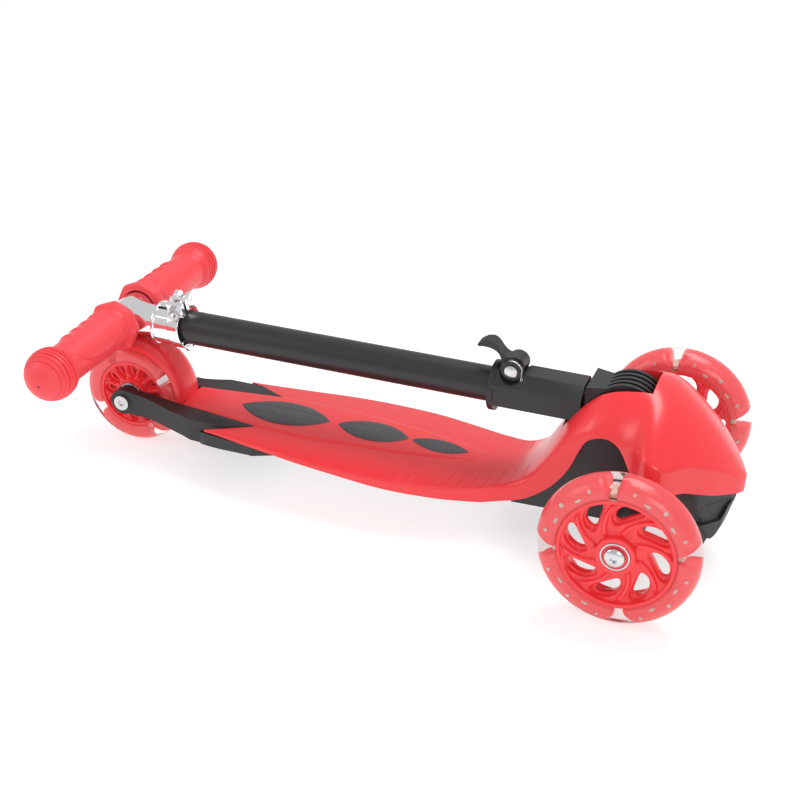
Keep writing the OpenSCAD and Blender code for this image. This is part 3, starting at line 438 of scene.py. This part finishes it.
def foot_pad(name, a, b, half):
    """A leaf between two arcs from x = a to b. With u from 0 to 1 along it and v from -1 to 1 across, its dome is
    1.15 (1 - |v|^6)(1 - |2u - 1|^14) mm, and V grooves 0.35 mm deep cross it and run along it."""
    first, pitch = 0.12, 0.125
    lanes = np.array([-0.36, 0.36])
    u = [np.linspace(g - 0.006, g + 0.006, 5) for g in np.arange(first, 0.95, pitch)]
    u = np.unique(np.concatenate([np.linspace(0, 1, 60), *u]))[:, None]
    v = [np.linspace(g - 0.03, g + 0.03, 5) for g in lanes]
    v = np.unique(np.concatenate([np.linspace(-1, 1, 33), *v]))[None]
    x = a + (b - a)*u
    r = (((b - a)/2)**2 + half**2)/(2*half)
    reach = np.sqrt(np.maximum(r*r - (x - (a + b)/2)**2, 0)) - (r - half)
    reach = np.maximum(reach, 0)
    y = reach*v
    rise = 1.15*(1 - np.abs(v)**6)*(1 - np.abs(2*u - 1)**14)
    across = np.abs(u - np.round((u - first)/pitch)*pitch - first)*(b - a)
    along = np.min(np.abs(v[..., None] - lanes), -1)*half
    deep, wide = 0.35, 0.55
    dent = deep*np.maximum(np.clip(1 - across/wide, 0, 1), np.clip(1 - along/wide, 0, 1)*(reach > 0.3*half))
    z = through(TOP, x) + PANEL_RISE - 0.1 + rise - dent*(rise > 0.6)
    top = np.stack([x + 0*v, y, z], -1)
    under = top.copy()
    under[..., 2] = through(TOP, x) + 0.3
    n, m = y.shape
    rim = [(top, cells(n, m)), (under, cells(n, m)[:, ::-1])]
    for k in (0, m - 1):
        rim.append((np.stack([top[:, k], under[:, k]], 1), cells(n, 2)))
    for k in (0, n - 1):
        rim.append((np.stack([top[k], under[k]], 1), cells(m, 2)))
    put(name + "_tread", rim, "deck", PAD, [name])


# ---------------------------------------------------------------- wheels
TYRE_W, WINDOWS = 24, 4
FRONT_CORE, FRONT_HUB, FRONT_OPENINGS = 44.1, 12.6, 8
REAR_CORE, REAR_HUB, REAR_OPENINGS = 30.15, 11.8, 12
# A rim's opening has its middle at radius rc, half lengths a along and b across the radius and a taper. Its face is
# sunk into the rim, a rib of this rise and half width runs between two openings, and curl bends the swirl.
FRONT_RIB = {"rc": 31.4, "a": 7.8, "b": 6.6, "taper": 0.38, "sink": 4.2, "rise": 2.8, "width": 2.5, "curl": 1.15}
REAR_RIB = {"rc": 20.4, "a": 4.4, "b": 1.9, "taper": 0.42, "sink": 3.0, "rise": 1.0, "width": 1.3, "curl": 1.0}


def wheel_frame(points, x, y, z, out):
    """Points (r, angle, h) to X, Y, Z: the angle runs from +X towards +Z and h runs outward along out*Y."""
    r, angle, h = np.moveaxis(np.asarray(points, float), -1, 0)
    return np.stack([x + r*np.cos(angle), y + out*h, z + r*np.sin(angle)], -1)


def tyre_outline(r, core, inset=0.0):
    """Outline of a tyre (r, h): flat flanks from its seat at core, then a round tread of radius w/2 - 2, in which
    h = (w/2 - inset) sin t / sin 78 degrees."""
    half, bend = TYRE_W/2, TYRE_W/2 - 2
    t = np.radians(np.linspace(-78, 78, 22))
    tread = np.column_stack([r - bend + (bend - inset)*np.cos(t), (half - inset)*np.sin(t)/np.sin(t[-1])])
    flank = np.array([[core, half - 1 - inset], [core + 1.5, half - 0.4 - inset], [r - bend - 3, half - inset]])
    return np.vstack([flank*[1, -1], tread, flank[::-1]])


def tyre_pieces(tag, node, body, place, r, core, phase):
    """A clear tyre round a red core. WINDOWS gaps cut the core into segments. At each end of a segment, q runs from
    0 to 1 over a tenth of its length and its height shrinks by 0.62 (1 - sqrt(1 - q^2))."""
    ring = tyre_outline(r, core)
    u = np.linspace(0, 2*np.pi, 128, endpoint=False)
    grid = grid_of(ring[:, None, 0], u[None], ring[:, None, 1])
    put(f"{tag}_tyre_clear", [(wheel_frame(grid, *place), cells(len(ring), len(u), True, True))], body, CLEAR,
        [node])
    inside = tyre_outline(r - 1.2, core, 2.0)
    seat, shrink = core + 0.15, 0.985
    half = np.pi/WINDOWS - 3.1/core
    a = np.linspace(-1, 1, 40)
    a = np.sign(a)*(1 - (1 - np.abs(a))**1.5)
    q = np.clip((np.abs(a) - 0.8)/0.2, 0, 1)
    lift = 1 - 0.62*(1 - np.sqrt(1 - q*q))
    height = seat + (inside[None, :, 0] - seat)*lift[:, None]*shrink
    shells = []
    for k in range(WINDOWS):
        angle = phase + (2*k + 1)*np.pi/WINDOWS + half*a
        part = grid_of(height, angle[:, None], inside[None, :, 1]*shrink)
        shells.append((wheel_frame(part, *place), capped(len(a), len(inside))))
    put(f"{tag}_tyre_core", shells, body, TYRE_RED_PAINTED_GLOW)


def light_pieces(tag, node, body, place, core, phase):
    """A front wheel's light ring: a box in each window of the tyre, a thin band that joins them round the rim, and
    five cream dots on each face of each segment, at the share q of the way to the next window. A dot is the
    ellipse (long cos f, deep sin f)."""
    lamps = []
    box = filleted([(-2.4, -4.4), (2.4, -4.4), (2.4, 4.4), (-2.4, 4.4)], 0.9)
    rows = np.array([core + 0.4, core + 1, core + 3.2, core + 3.9])
    squeeze = np.array([0.96, 1, 1, 0.8])[:, None]
    for k in range(WINDOWS):
        angle = phase + 2*np.pi*k/WINDOWS
        part = grid_of(rows[:, None], angle + box[None, :, 0]*squeeze/core, box[None, :, 1]*squeeze)
        lamps.append((wheel_frame(part, *place), capped(len(rows), len(box))))
    u = np.linspace(0, 2*np.pi, 128, endpoint=False)
    band = np.array([(core + 0.15, -2.2), (core + 1.3, -2.2), (core + 1.3, 2.2), (core + 0.15, 2.2)])
    grid = grid_of(band[:, None, 0], u[None], band[:, None, 1])
    lamps.append((wheel_frame(grid, *place), cells(4, len(u), True, True)))
    low, high = core + 4.4, core + 8.2
    dots = [(0.2, 1.3, 1.3, high), (0.34, 2.6, 1.0, low), (0.5, 1.6, 1.6, high), (0.66, 2.6, 1.0, low),
            (0.8, 1.3, 1.3, high)]
    f = np.linspace(0, 2*np.pi, 16, endpoint=False)[None]
    face = np.array([[TYRE_W/2 - 2.4], [TYRE_W/2 - 1.3]])
    for h in (-1, 1):
        for k in range(WINDOWS):
            for q, long, deep, r in dots:
                angle = phase + 2*np.pi*(k + q)/WINDOWS
                dot = grid_of(r + deep*np.sin(f), angle + long*np.cos(f)/r, h*face)
                lamps.append((wheel_frame(dot, *place), capped(2, f.size)))
    put(f"{tag}_lights", lamps, body, MILK, [node])


def rim_piece(tag, node, body, place, core, openings, twist, hub, phase, rib):
    """A spoked rim. Each sector is a grid between an opening, r = rc + a cos f and t = b (1 + taper cos f) sin f,
    and the sector's border. The whole sector is then swirled by twist k^curl, where k is the share of the way
    from hub to ring."""
    inner, outer = hub + 1.2, core - 2.6
    step = 2*np.pi/openings
    half_w = TYRE_W/2 - 1.6
    lo, hi = np.linspace(-0.5, 0.5, 12, endpoint=False), np.linspace(0, 1, 14, endpoint=False)
    s = np.concatenate([lo, 0.5 + 0*hi, -lo, -0.5 + 0*hi])
    rad = np.concatenate([0*lo, hi, 0*lo + 1, 1 - hi])
    border_r = inner + (outer - inner)*rad
    border_t = s*step*border_r
    f = np.arctan2(border_t/(rib["b"] + 2), (border_r - rib["rc"])/(rib["a"] + 2))
    face = half_w - rib["sink"]
    # rows of the grid: share of the way from opening to border, height, widening of the opening
    front = [(0, -0.5, 0), (0, face - 4.6, 0), (0, face - 4.0, 0.15), (0, face - 3.7, 0.8), (0, face - 3.5, 1.5),
             (0, face - 0.9, 1.9), (0, face - 0.25, 2.2)]
    front += [(v, face, 2.7) for v in (0.03, 0.1, 0.25, 0.4, 0.55, 0.66, 0.74, 0.8, 0.85, 0.9, 0.95, 1)]
    rows = [(v, -h, g) for v, h, g in front[::-1]] + front[1:]
    grids = []
    for v, h, g in rows:
        open_r = rib["rc"] + (rib["a"] + g)*np.cos(f)
        open_t = (rib["b"] + g)*(1 + rib["taper"]*np.cos(f))*np.sin(f)
        r = open_r*(1 - v) + border_r*v
        t = open_t*(1 - v) + border_t*v
        from_border = step/2*r - np.abs(t)
        ridge = rib["rise"]*(1 - ease(rib["width"]*0.45, rib["width"], from_border))
        ridge = ridge*ease(inner + 1, inner + 3.5, r)*(1 - ease(outer - 3.5, outer - 1, r))
        swell = 1.1*(1 - ease(inner, inner + 5, r)) + 0.8*ease(outer - 3, outer, r)
        height = h + np.sign(h)*(ridge + swell)*(abs(h) > face - 0.1)
        angle = t/r + phase + twist*((r - inner)/(outer - inner))**rib["curl"]
        grids.append(np.stack([r, angle, height], -1))
    sector = np.array(grids)
    shells = [(wheel_frame(sector + [0, k*step, 0], *place), cells(len(rows), len(f), True)) for k in range(openings)]
    u = np.linspace(0, 2*np.pi, 96, endpoint=False)
    hub_w = 12.6
    ring = [(core - 3.2, -half_w), (core - 0.15, -half_w), (core - 0.15, half_w), (core - 3.2, half_w)]
    boss = [(11.0, -hub_w), (hub + 1.9, -hub_w), (hub + 2.2, -half_w + 1), (hub + 2.2, half_w - 1),
            (hub + 1.9, hub_w), (11.0, hub_w)]
    for profile in (ring, boss):
        p = filleted(profile, 0.7, 4)
        grid = grid_of(p[:, None, 0], u[None], p[:, None, 1])
        shells.append((wheel_frame(grid, *place), cells(len(p), len(u), True, True)))
    put(f"{tag}_rim_moulding", shells, body, RIM_RED, [node], sharp=50)


def bearing_piece(tag, node, body, place, seal):
    """Two sealed bearings: a ground outer ring, a sunk seal and an inner ring."""
    *at, out = place
    outer_ring = filleted([(9.6, 5.9), (10.95, 5.9), (10.95, 12.95), (9.6, 12.95)], 0.5, 3)
    inner_ring = filleted([(4.1, 5.9), (6.4, 5.9), (6.4, 12.9), (4.1, 12.9)], 0.4, 3)
    sealing = filleted([(6.3, 7), (9.7, 7), (9.7, 12.2), (6.3, 12.2)], 0.3, 2)
    sides = (out, -out)
    rings = [turned(p, 72, at, "y", s) for s in sides for p in (outer_ring, inner_ring)]
    put(f"{tag}_bearing_rings", rings, body, STEEL, [node])
    put(f"{tag}_bearing_seals", [turned(sealing, 72, at, "y", s) for s in sides], body, seal)


def wheels():
    """The two front wheels and the rear wheel. place is an axle's middle and the side that faces outward."""
    for side, out in (("left", 1), ("right", -1)):
        body, tag = f"wheel_{side}", f"front_{side}"
        place, turn = (0, out*TRACK, FRONT_R, out), np.radians(8.0)
        tyre_pieces(tag, f"tyre_{side}", body, place, FRONT_R, FRONT_CORE, turn)
        light_pieces(tag, f"light_ring_{side}", body, place, FRONT_CORE, turn)
        rim_piece(tag, f"rim_{side}", body, place, FRONT_CORE, FRONT_OPENINGS, out*np.radians(34), FRONT_HUB,
                  np.radians(104.5), FRONT_RIB)
        bearing_piece(tag, f"bearings_{side}", body, place, RIM_RED)
    body, place = "wheel_rear", (REAR_X, 0, REAR_R, -1)
    tyre_pieces("rear", "tyre_rear", body, place, REAR_R, REAR_CORE, np.radians(30))
    rim_piece("rear", "rim_rear", body, place, REAR_CORE, REAR_OPENINGS, 0.0, REAR_HUB, 0.0, REAR_RIB)
    bearing_piece("rear", "bearings_rear", body, place, BLACK)


# ---------------------------------------------------------------- handlebar and rear end
BAR_X, BAR_Z = middle("crossbar", 0) - FRONT_AXLE, middle("crossbar", 2)
BAR_END = 1000*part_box("grip_left")[1].y
BALL_R = 21.3


def around(u, centre):
    """Turn from centre degrees to u, between -pi and pi."""
    return np.mod(u - np.radians(centre) + np.pi, 2*np.pi) - np.pi


def grip_piece(side, out):
    """A grip as R(s, u), s along the bar and u round it from straight up towards the front: an eight-sided flared
    collar, a tapering handle with a raised oval and four finger bumps, and a ball with ridges 3.4 mm apart. Handle
    and ball join as w log(exp(handle/w) + exp(ball/w)) with w = 0.6 mm."""
    mouth, collar_end, ball_s = 18.5, 26, BAR_END - BALL_R
    ridge_from, ridge_to, ridge_pitch, ridge_deep, blend = 113, 136, 3.4, 1.4, 0.6
    s = np.unique(np.round(np.concatenate([
        [mouth, 18.8, 19.3, 20, 21, 22.5, 23.2, 24, 25, collar_end, 28, 30, 32, 34], np.arange(34, 98, 0.9),
        np.arange(98, 137, 0.4), ball_s + BALL_R*np.sin(np.linspace(0.95, np.pi/2, 12))]), 4))
    u = np.linspace(0, 2*np.pi, 120, endpoint=False)
    S, U = np.meshgrid(s, u, indexing="ij")
    handle = through([(mouth, 19.6), (19.6, 20.6), (25.5, 20.9), (27, 20.2), (28.6, 18.2), (31, 17.5), (45, 17),
                      (80, 16.5), (104, 16.3), (142, 16.3)], S)
    flat = np.cos(np.pi/8)/np.cos(np.mod(U, np.pi/4) - np.pi/8)
    handle = handle*(1 + (1 - ease(collar_end, 29, S))*0.85*(flat*1.055 - 1))
    oval = ((S - 66)/34)**2 + (around(U, 48)*17/13.5)**2
    handle = handle + 0.9*ease(1.05, 0.98, oval)
    for centre in (42, 56, 70, 84):
        bump = ((S - centre)/5.6)**2 + (around(U, -42)*17/9)**2
        handle = handle + 1.9*np.sqrt(np.clip(1 - bump, 0, 1))*ease(centre + 6, centre - 3, S)
    ball = np.sqrt(np.maximum(BALL_R**2 - (S - ball_s)**2, 0))
    joined = blend*np.log(np.exp(handle/blend) + np.exp(ball/blend))
    wave = np.abs(np.mod((S - ridge_from)/ridge_pitch, 1) - 0.5)*2
    within = ease(ridge_from, ridge_from + 1, S)*(1 - ease(ridge_to - 0.4, ridge_to + 0.4, S))
    R = np.where(S > ball_s, ball, joined) - ridge_deep*ease(0.42, 0.66, wave)*within
    R[-1] = 0
    points = np.stack([BAR_X + R*np.sin(U), out*S, BAR_Z + R*np.cos(U)], -1)
    # the sunk mouth of the collar round the chrome tee, then the bore over the bar
    r = np.array([19.4, 15.2, 15.0, 11.2, 11.1])[:, None]
    along = np.array([mouth, mouth, 24.8, 24.8, 60])[:, None]
    bore = grid_of(BAR_X + r*np.sin(u), out*along, BAR_Z + r*np.cos(u))
    bore[0] = points[0]
    shells = [(points, cells(len(s), len(u), True)), (bore, cells(len(r), len(u), True))]
    put(f"grip_{side}_rubber", shells, "handlebar", GRIP, [f"grip_{side}"], sharp=38)
    # painted shade: a thin black disc on the ball's end stands in for the dark inside of the vent hole, which is not
    # cut into the grip
    hole = [(0, 0.3), (0.8, 0.3), (0.9, -0.12), (0, -0.12)]
    painted_shade_vent = turned(hole, 16, (BAR_X + 1.2, out*BAR_END, BAR_Z - 1.5), "y", -out)
    put(f"grip_{side}_vent", [painted_shade_vent], "handlebar", BLACK)


def fender_piece():
    """The brake fender as R(f, v) round the rear axle, v from -1 to 1 across it: its crest rises towards the front,
    its section falls by 4.6 |v|^3.2 to the shoulders, its wall is 2.6 mm thick and its ends are closed. A foot
    joins it to the brake's pin."""
    half_out, half_in, wall, tyre_clear = 17.1, 15.2, 2.6, 47.0
    f = np.radians(np.linspace(108, 4, 70))
    crest = through([(4, 53.6), (20, 54.2), (60, 54.3), (72, 54), (88, 51.8), (100, 49.8), (108, 49)], np.degrees(f))
    crest = crest[:, None]
    v = np.concatenate([np.linspace(-1, -0.9, 6)[:-1], np.linspace(-0.9, 0.9, 31), np.linspace(0.9, 1, 6)[1:]])[None]
    fall = 4.6*np.abs(v)**3.2 + 2.2*ease(0.93, 1, np.abs(v))
    outer = crest - fall*np.clip((crest - 47.4)/6, 0.25, 1)
    inside = np.maximum(np.minimum(crest - wall, outer - 0.9), tyre_clear)
    grid = np.concatenate([grid_of(outer, half_out*v), grid_of(inside, half_in*v)[:, ::-1]], 1)
    r, y = grid[..., 0], grid[..., 1]
    points = grid_of(REAR_X + r*np.cos(f)[:, None], y, REAR_R + r*np.sin(f)[:, None])
    n = points.shape[1]
    faces = [tuple(c) for c in cells(len(f), n, True)]
    for start in (0, (len(f) - 1)*n):
        faces += [(start + i, start + i + 1, start + n - 2 - i, start + n - 1 - i) for i in range(n//2 - 1)]
    outline = [(-397, 35.5), (-386.8, 35.5), (-386.8, 44), (-393.4, 45), (-393.4, 53), (-398.5, 53)]
    foot = bar_of(filleted(outline, 1, 3), -9, 9)
    put("brake_fender", [(points, faces), foot], "brake", RED, ["fender"], sharp=42)


# ---------------------------------------------------------------- nose bumper, hinge, latch and clamp
def bumper_piece():
    """Level rings of the bumper from z = 84 down to 31. x runs from back(z) to front(z), and y is the smaller of
    wide(z) and the deck's plan less 3.6 mm, with a pocket 3.5 mm deep and a ridge round it in each side."""
    z = np.concatenate([np.linspace(84, 66, 6), np.linspace(65, 40, 34), np.linspace(39, 31, 10)])[:, None]
    front = through([(31, 53.5), (33, 56.5), (38, 59.5), (52, 63.5), (66, 66.5), (84, 62)], z)
    back = through([(31, 50), (40, 45), (52, 37), (62, 27), (70, 14), (84, 4)], z)
    wide = through([(31, 25), (40, 30), (50, 34), (62, 37), (84, 40)], z)
    t = np.linspace(0, 1, 60)[None]
    x = back + (front - back)*t
    y = np.minimum(wide, through(PLAN, x) - 3.6)
    y = y*np.sqrt(np.clip(1 - ease(0.9, 1, t)*0.5, 0, 1))
    pocket_x, pocket_z, pocket_deep, ridge = 58 - 0.42*(66 - z), 54, 3.5, 0.7
    dent = np.maximum(np.abs((x - pocket_x)/8.5), np.abs(z - pocket_z)/8)
    y = y - pocket_deep*(1 - ease(0.86, 1.0, dent)) + ridge*ease(0.98, 1.06, dent)*(1 - ease(1.12, 1.22, dent))
    side = np.stack([x, y, z + 0*x], -1)
    ring = np.concatenate([side, (side*[1, -1, 1])[:, ::-1]], 1)
    put("front_bumper", [(ring, capped(*ring.shape[:2]))], "deck", BLACK, sharp=30)


def cheek_piece():
    """The housing's side panels: 2 mm above the moulding's rim on top, nearly level below, and cut back along the
    slot that the truck swings in."""
    x = np.linspace(-100, -4, 60)
    over = np.column_stack([x, through(RIM, x) + 2])
    below = [(-1, 86), (-24, 70), (-4.5, 40.5), (-6, 37), (-20, 36), (-60, 35.2), (-100, 34.2)]
    inner_y, outer_y = 35.3, 36.5
    panel = bar_of(np.vstack([over, below]), inner_y, outer_y)
    put("housing_cheeks", mirrored([panel]), "deck", BLACK, sharp=30)


def tee_piece():
    """The tee of the handlebar: a sleeve across and a neck of radius 12.9 + 4.2 (1 - t)^2, t from sleeve to tube."""
    bore_r, sleeve_r, half = 11.05, 14.4, 24.4
    sleeve = filleted([(bore_r, -half), (sleeve_r, -half), (sleeve_r, half), (bore_r, half)], 0.6, 4)
    t = np.linspace(0, 1, 16)
    neck = np.column_stack([12.9 + 4.2*(1 - t)**2, 4 + 26*t])
    neck = np.vstack([[[12.05, 4]], neck, [[12.6, 30.5], [12.05, 30.5]]])
    at = (BAR_X, 0, BAR_Z)
    put("bar_tee", [turned(sleeve, 80, at, "y"), turned(neck, 80, at, "x")], "handlebar", CHROME, ["t_joint"], sharp=38)


def refined(node, body, finish, width):
    """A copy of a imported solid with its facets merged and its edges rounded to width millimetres."""
    sharp = 34
    solid = frame["nodes"][node]
    mesh = solid.data.copy()
    mesh.transform(solid.matrix_world)
    work = bmesh.new()
    work.from_mesh(mesh)
    bmesh.ops.remove_doubles(work, verts=work.verts, dist=1e-6)
    bmesh.ops.dissolve_limit(work, angle_limit=np.radians(1.5), verts=work.verts, edges=work.edges)
    bmesh.ops.recalc_face_normals(work, faces=work.faces)
    work.to_mesh(mesh)
    work.free()
    mesh.materials.clear()
    mesh.materials.append(finish)
    mesh.shade_smooth()
    mesh.set_sharp_from_angle(angle=np.radians(sharp))
    piece = bpy.data.objects.new(node + "_finished", mesh)
    bpy.context.scene.collection.objects.link(piece)
    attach(piece, body)
    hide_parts(node)
    soften(piece, width, sharp)


def trigger_piece():
    """The latch trigger: a curved plate 13 mm wide whose outline runs over the rivet, ribs across its tip, a knob in
    front and a disc at each side of the rivet."""
    over = [(-143.2, 147.6), (-141, 149.8), (-137.4, 152), (-132.4, 152.9), (-128.4, 150.7), (-124.2, 145),
            (-119.8, 141.6), (-115.8, 141.4), (-112, 143.3), (-108, 142.2), (-105.2, 138.6), (-104.6, 132.5)]
    under = [(-109, 130.5), (-118, 130.5), (-123.6, 133.6), (-123.2, 138), (-124.4, 141.8), (-127.3, 145),
             (-132.7, 147), (-138.4, 147.2), (-142.2, 146.4)]
    shells = [bar_of(filleted(over + under, 3, 4), -6.5, 6.5)]
    tip = np.array(over[:6])
    rib = np.array([(-0.45, -0.7), (0.45, -0.7), (0.35, 0.35), (-0.35, 0.35)])
    t = np.linspace(0.06, 0.9, 9)*(len(tip) - 1)
    for at in np.column_stack([np.interp(t, np.arange(len(tip)), tip[:, k]) for k in (0, 1)]):
        shells.append(bar_of(at + rib, -6.1, 6.1))
    disc = filleted([(2.8, 6), (8.6, 6), (8.6, 12.1), (2.8, 12.1)], 0.9, 4)
    knob = filleted([(0, 5), (4.6, 5), (4.6, 7.1), (2.4, 7.1), (2.2, 6.6), (0, 6.6)], 0.3, 3)
    for s in (1, -1):
        shells.append(turned(disc, 56, (RIVET_X, 0, RIVET_Z), "y", s))
        shells.append(turned(knob, 40, (-110.2, 0, 138), "y", s))
    piece = put("latch_trigger_moulding", shells, "trigger", BLACK, ["latch_trigger"], sharp=40)
    soften(piece, 0.6, 50)


def wire(path, r, steps=10):
    """A round wire p(t) + r cos u side + r sin u up, where side is level and across the path's direction and up
    is square to both."""
    path = np.asarray(path, float)
    on = np.gradient(path, axis=0)
    on /= np.linalg.norm(on, axis=1)[:, None]
    side = np.cross(on, [0, 0, 1])
    side /= np.linalg.norm(side, axis=1)[:, None]
    up = np.cross(side, on)
    u = np.linspace(0, 2*np.pi, steps, endpoint=False)[None, :, None]
    return path[:, None] + r*np.cos(u)*side[:, None] + r*np.sin(u)*up[:, None], capped(len(path), steps)


def spring_end_piece():
    """The end of the trigger's spring: an arc of radius 9.1 round the rivet at the near disc, then a narrow V."""
    turn = np.radians(np.linspace(100, 20, 10))
    arc = grid_of(RIVET_X + 9.1*np.cos(turn), -12.6, RIVET_Z + 9.1*np.sin(turn))
    tail = [(-104.7, -12.9, 131), (-105, -13.2, 127), (-104.9, -13.4, 125), (-104.4, -13.6, 125),
            (-103.7, -13.7, 129.4)]
    put("trigger_spring_end", [wire(np.vstack([arc, tail]), 0.45)], "stem", STEEL, sharp=60)


def clamp_band_piece():
    """The clamp's bent plate on the near side: a band (x, r cos a, r sin a) round the tube from the nut to its
    underside, with a hooked end, and the two raised edges of the collar."""
    a = np.radians(np.linspace(132, 246, 40))[:, None]
    wide, inner_r, outer_r = 5, 17.05, 18.3
    section = filleted([(-wide, inner_r), (wide, inner_r), (wide, outer_r), (-wide, outer_r)], 0.4, 3)
    x = -401 + section[None, :, 0] + 4*ease(np.radians(150), np.radians(246), a)
    r = section[None, :, 1]
    shells = [(grid_of(x, r*np.cos(a), BAR_Z + r*np.sin(a)), capped(len(a), len(section)))]
    hook = filleted([(3, -1.2), (5.2, -1.2), (5.2, 1.2), (3, 1.2)], 0.4, 3)
    shells.append(turned(hook, 40, (-391.5, -6.5, BAR_Z - 15.3), "y"))
    bead = filleted([(16.7, -1.1), (18.1, -1.1), (18.1, 1.1), (16.7, 1.1)], 0.5, 3)
    for edge in (-419.6, -399.4):
        shells.append(turned(bead, 64, (edge, 0, BAR_Z), "x"))
    put("clamp_side_plate", shells, "stem", CHROME, sharp=40)


def rivet_piece():
    """The latch rivet: a pin and a domed head at each side, h = 14.6 - r^2/24."""
    pin_r, head_r, head_from = 2.45, 5.1, 12.3
    r = np.linspace(0, head_r, 9)
    pin = [[head_r, head_from], [pin_r, head_from], [pin_r, 0], [0, 0]]
    dome = np.vstack([np.column_stack([r, 14.6 - r*r/24]), pin])
    shells = [turned(dome, 48, (RIVET_X, 0, RIVET_Z), "y", s) for s in (1, -1)]
    put("latch_rivet_heads", shells, "stem", STEEL, ["latch_rivet"], sharp=40)


def bolt_pieces():
    """The front axle bolts: a plain shank and a button head (7.6 cos t, 0.9 + 3 sin t) with a round socket."""
    length, shank_r, head_r, seat = 67, 4.0, 7.6, TRACK + 13.05
    t = np.radians(np.linspace(0, 62, 10))
    shank = [[0, -length], [shank_r - 0.1, -length], [shank_r, -length + 0.6], [shank_r, 0], [7.4, 0], [head_r, 0.3]]
    crown = np.column_stack([head_r*np.cos(t), 0.9 + 3.0*np.sin(t)])
    profile = np.vstack([shank, crown, [[2.7, 3.7], [2.6, 1.5], [0, 1.2]]]) + [0, seat]
    shells = [turned(profile, 56, (0, 0, FRONT_R), "y", s) for s in (1, -1)]
    put("front_axle_bolts", shells, "truck", STEEL, ["axle_bolts"], sharp=40)


camera()
studio()
dress_frame()
deck_moulding()
foot_pad("pad_rear", -347.1, -267, 19)
foot_pad("pad_middle", -259.9, -197.8, 15.5)
foot_pad("pad_front", -195.5, -146.9, 10)
wheels()
for side, out in (("left", 1), ("right", -1)):
    grip_piece(side, out)
fender_piece()
bumper_piece()
cheek_piece()
tee_piece()
trigger_piece()
rivet_piece()
spring_end_piece()
clamp_band_piece()
bolt_pieces()
for node, body, finish, width in (
        ("rear_fork", "deck", BLACK, 0.9),
        ("stem_socket", "stem", BLACK, 0.7),
        ("hinge_knuckle", "stem", BLACK, 0.5),
        ("clamp_collar", "stem", CHROME, 0.5),
        ("clamp_lever", "lever", CHROME, 0.5),
        ("clamp_bolt", "stem", STEEL, 0.4),
        ("outer_tube", "stem", PAINT, 0.2),
        ("rear_axle_bolt", "deck", STEEL, 0.4),
        ("truck_beam", "truck", BLACK, 0.6)):
    refined(node, body, finish, width)
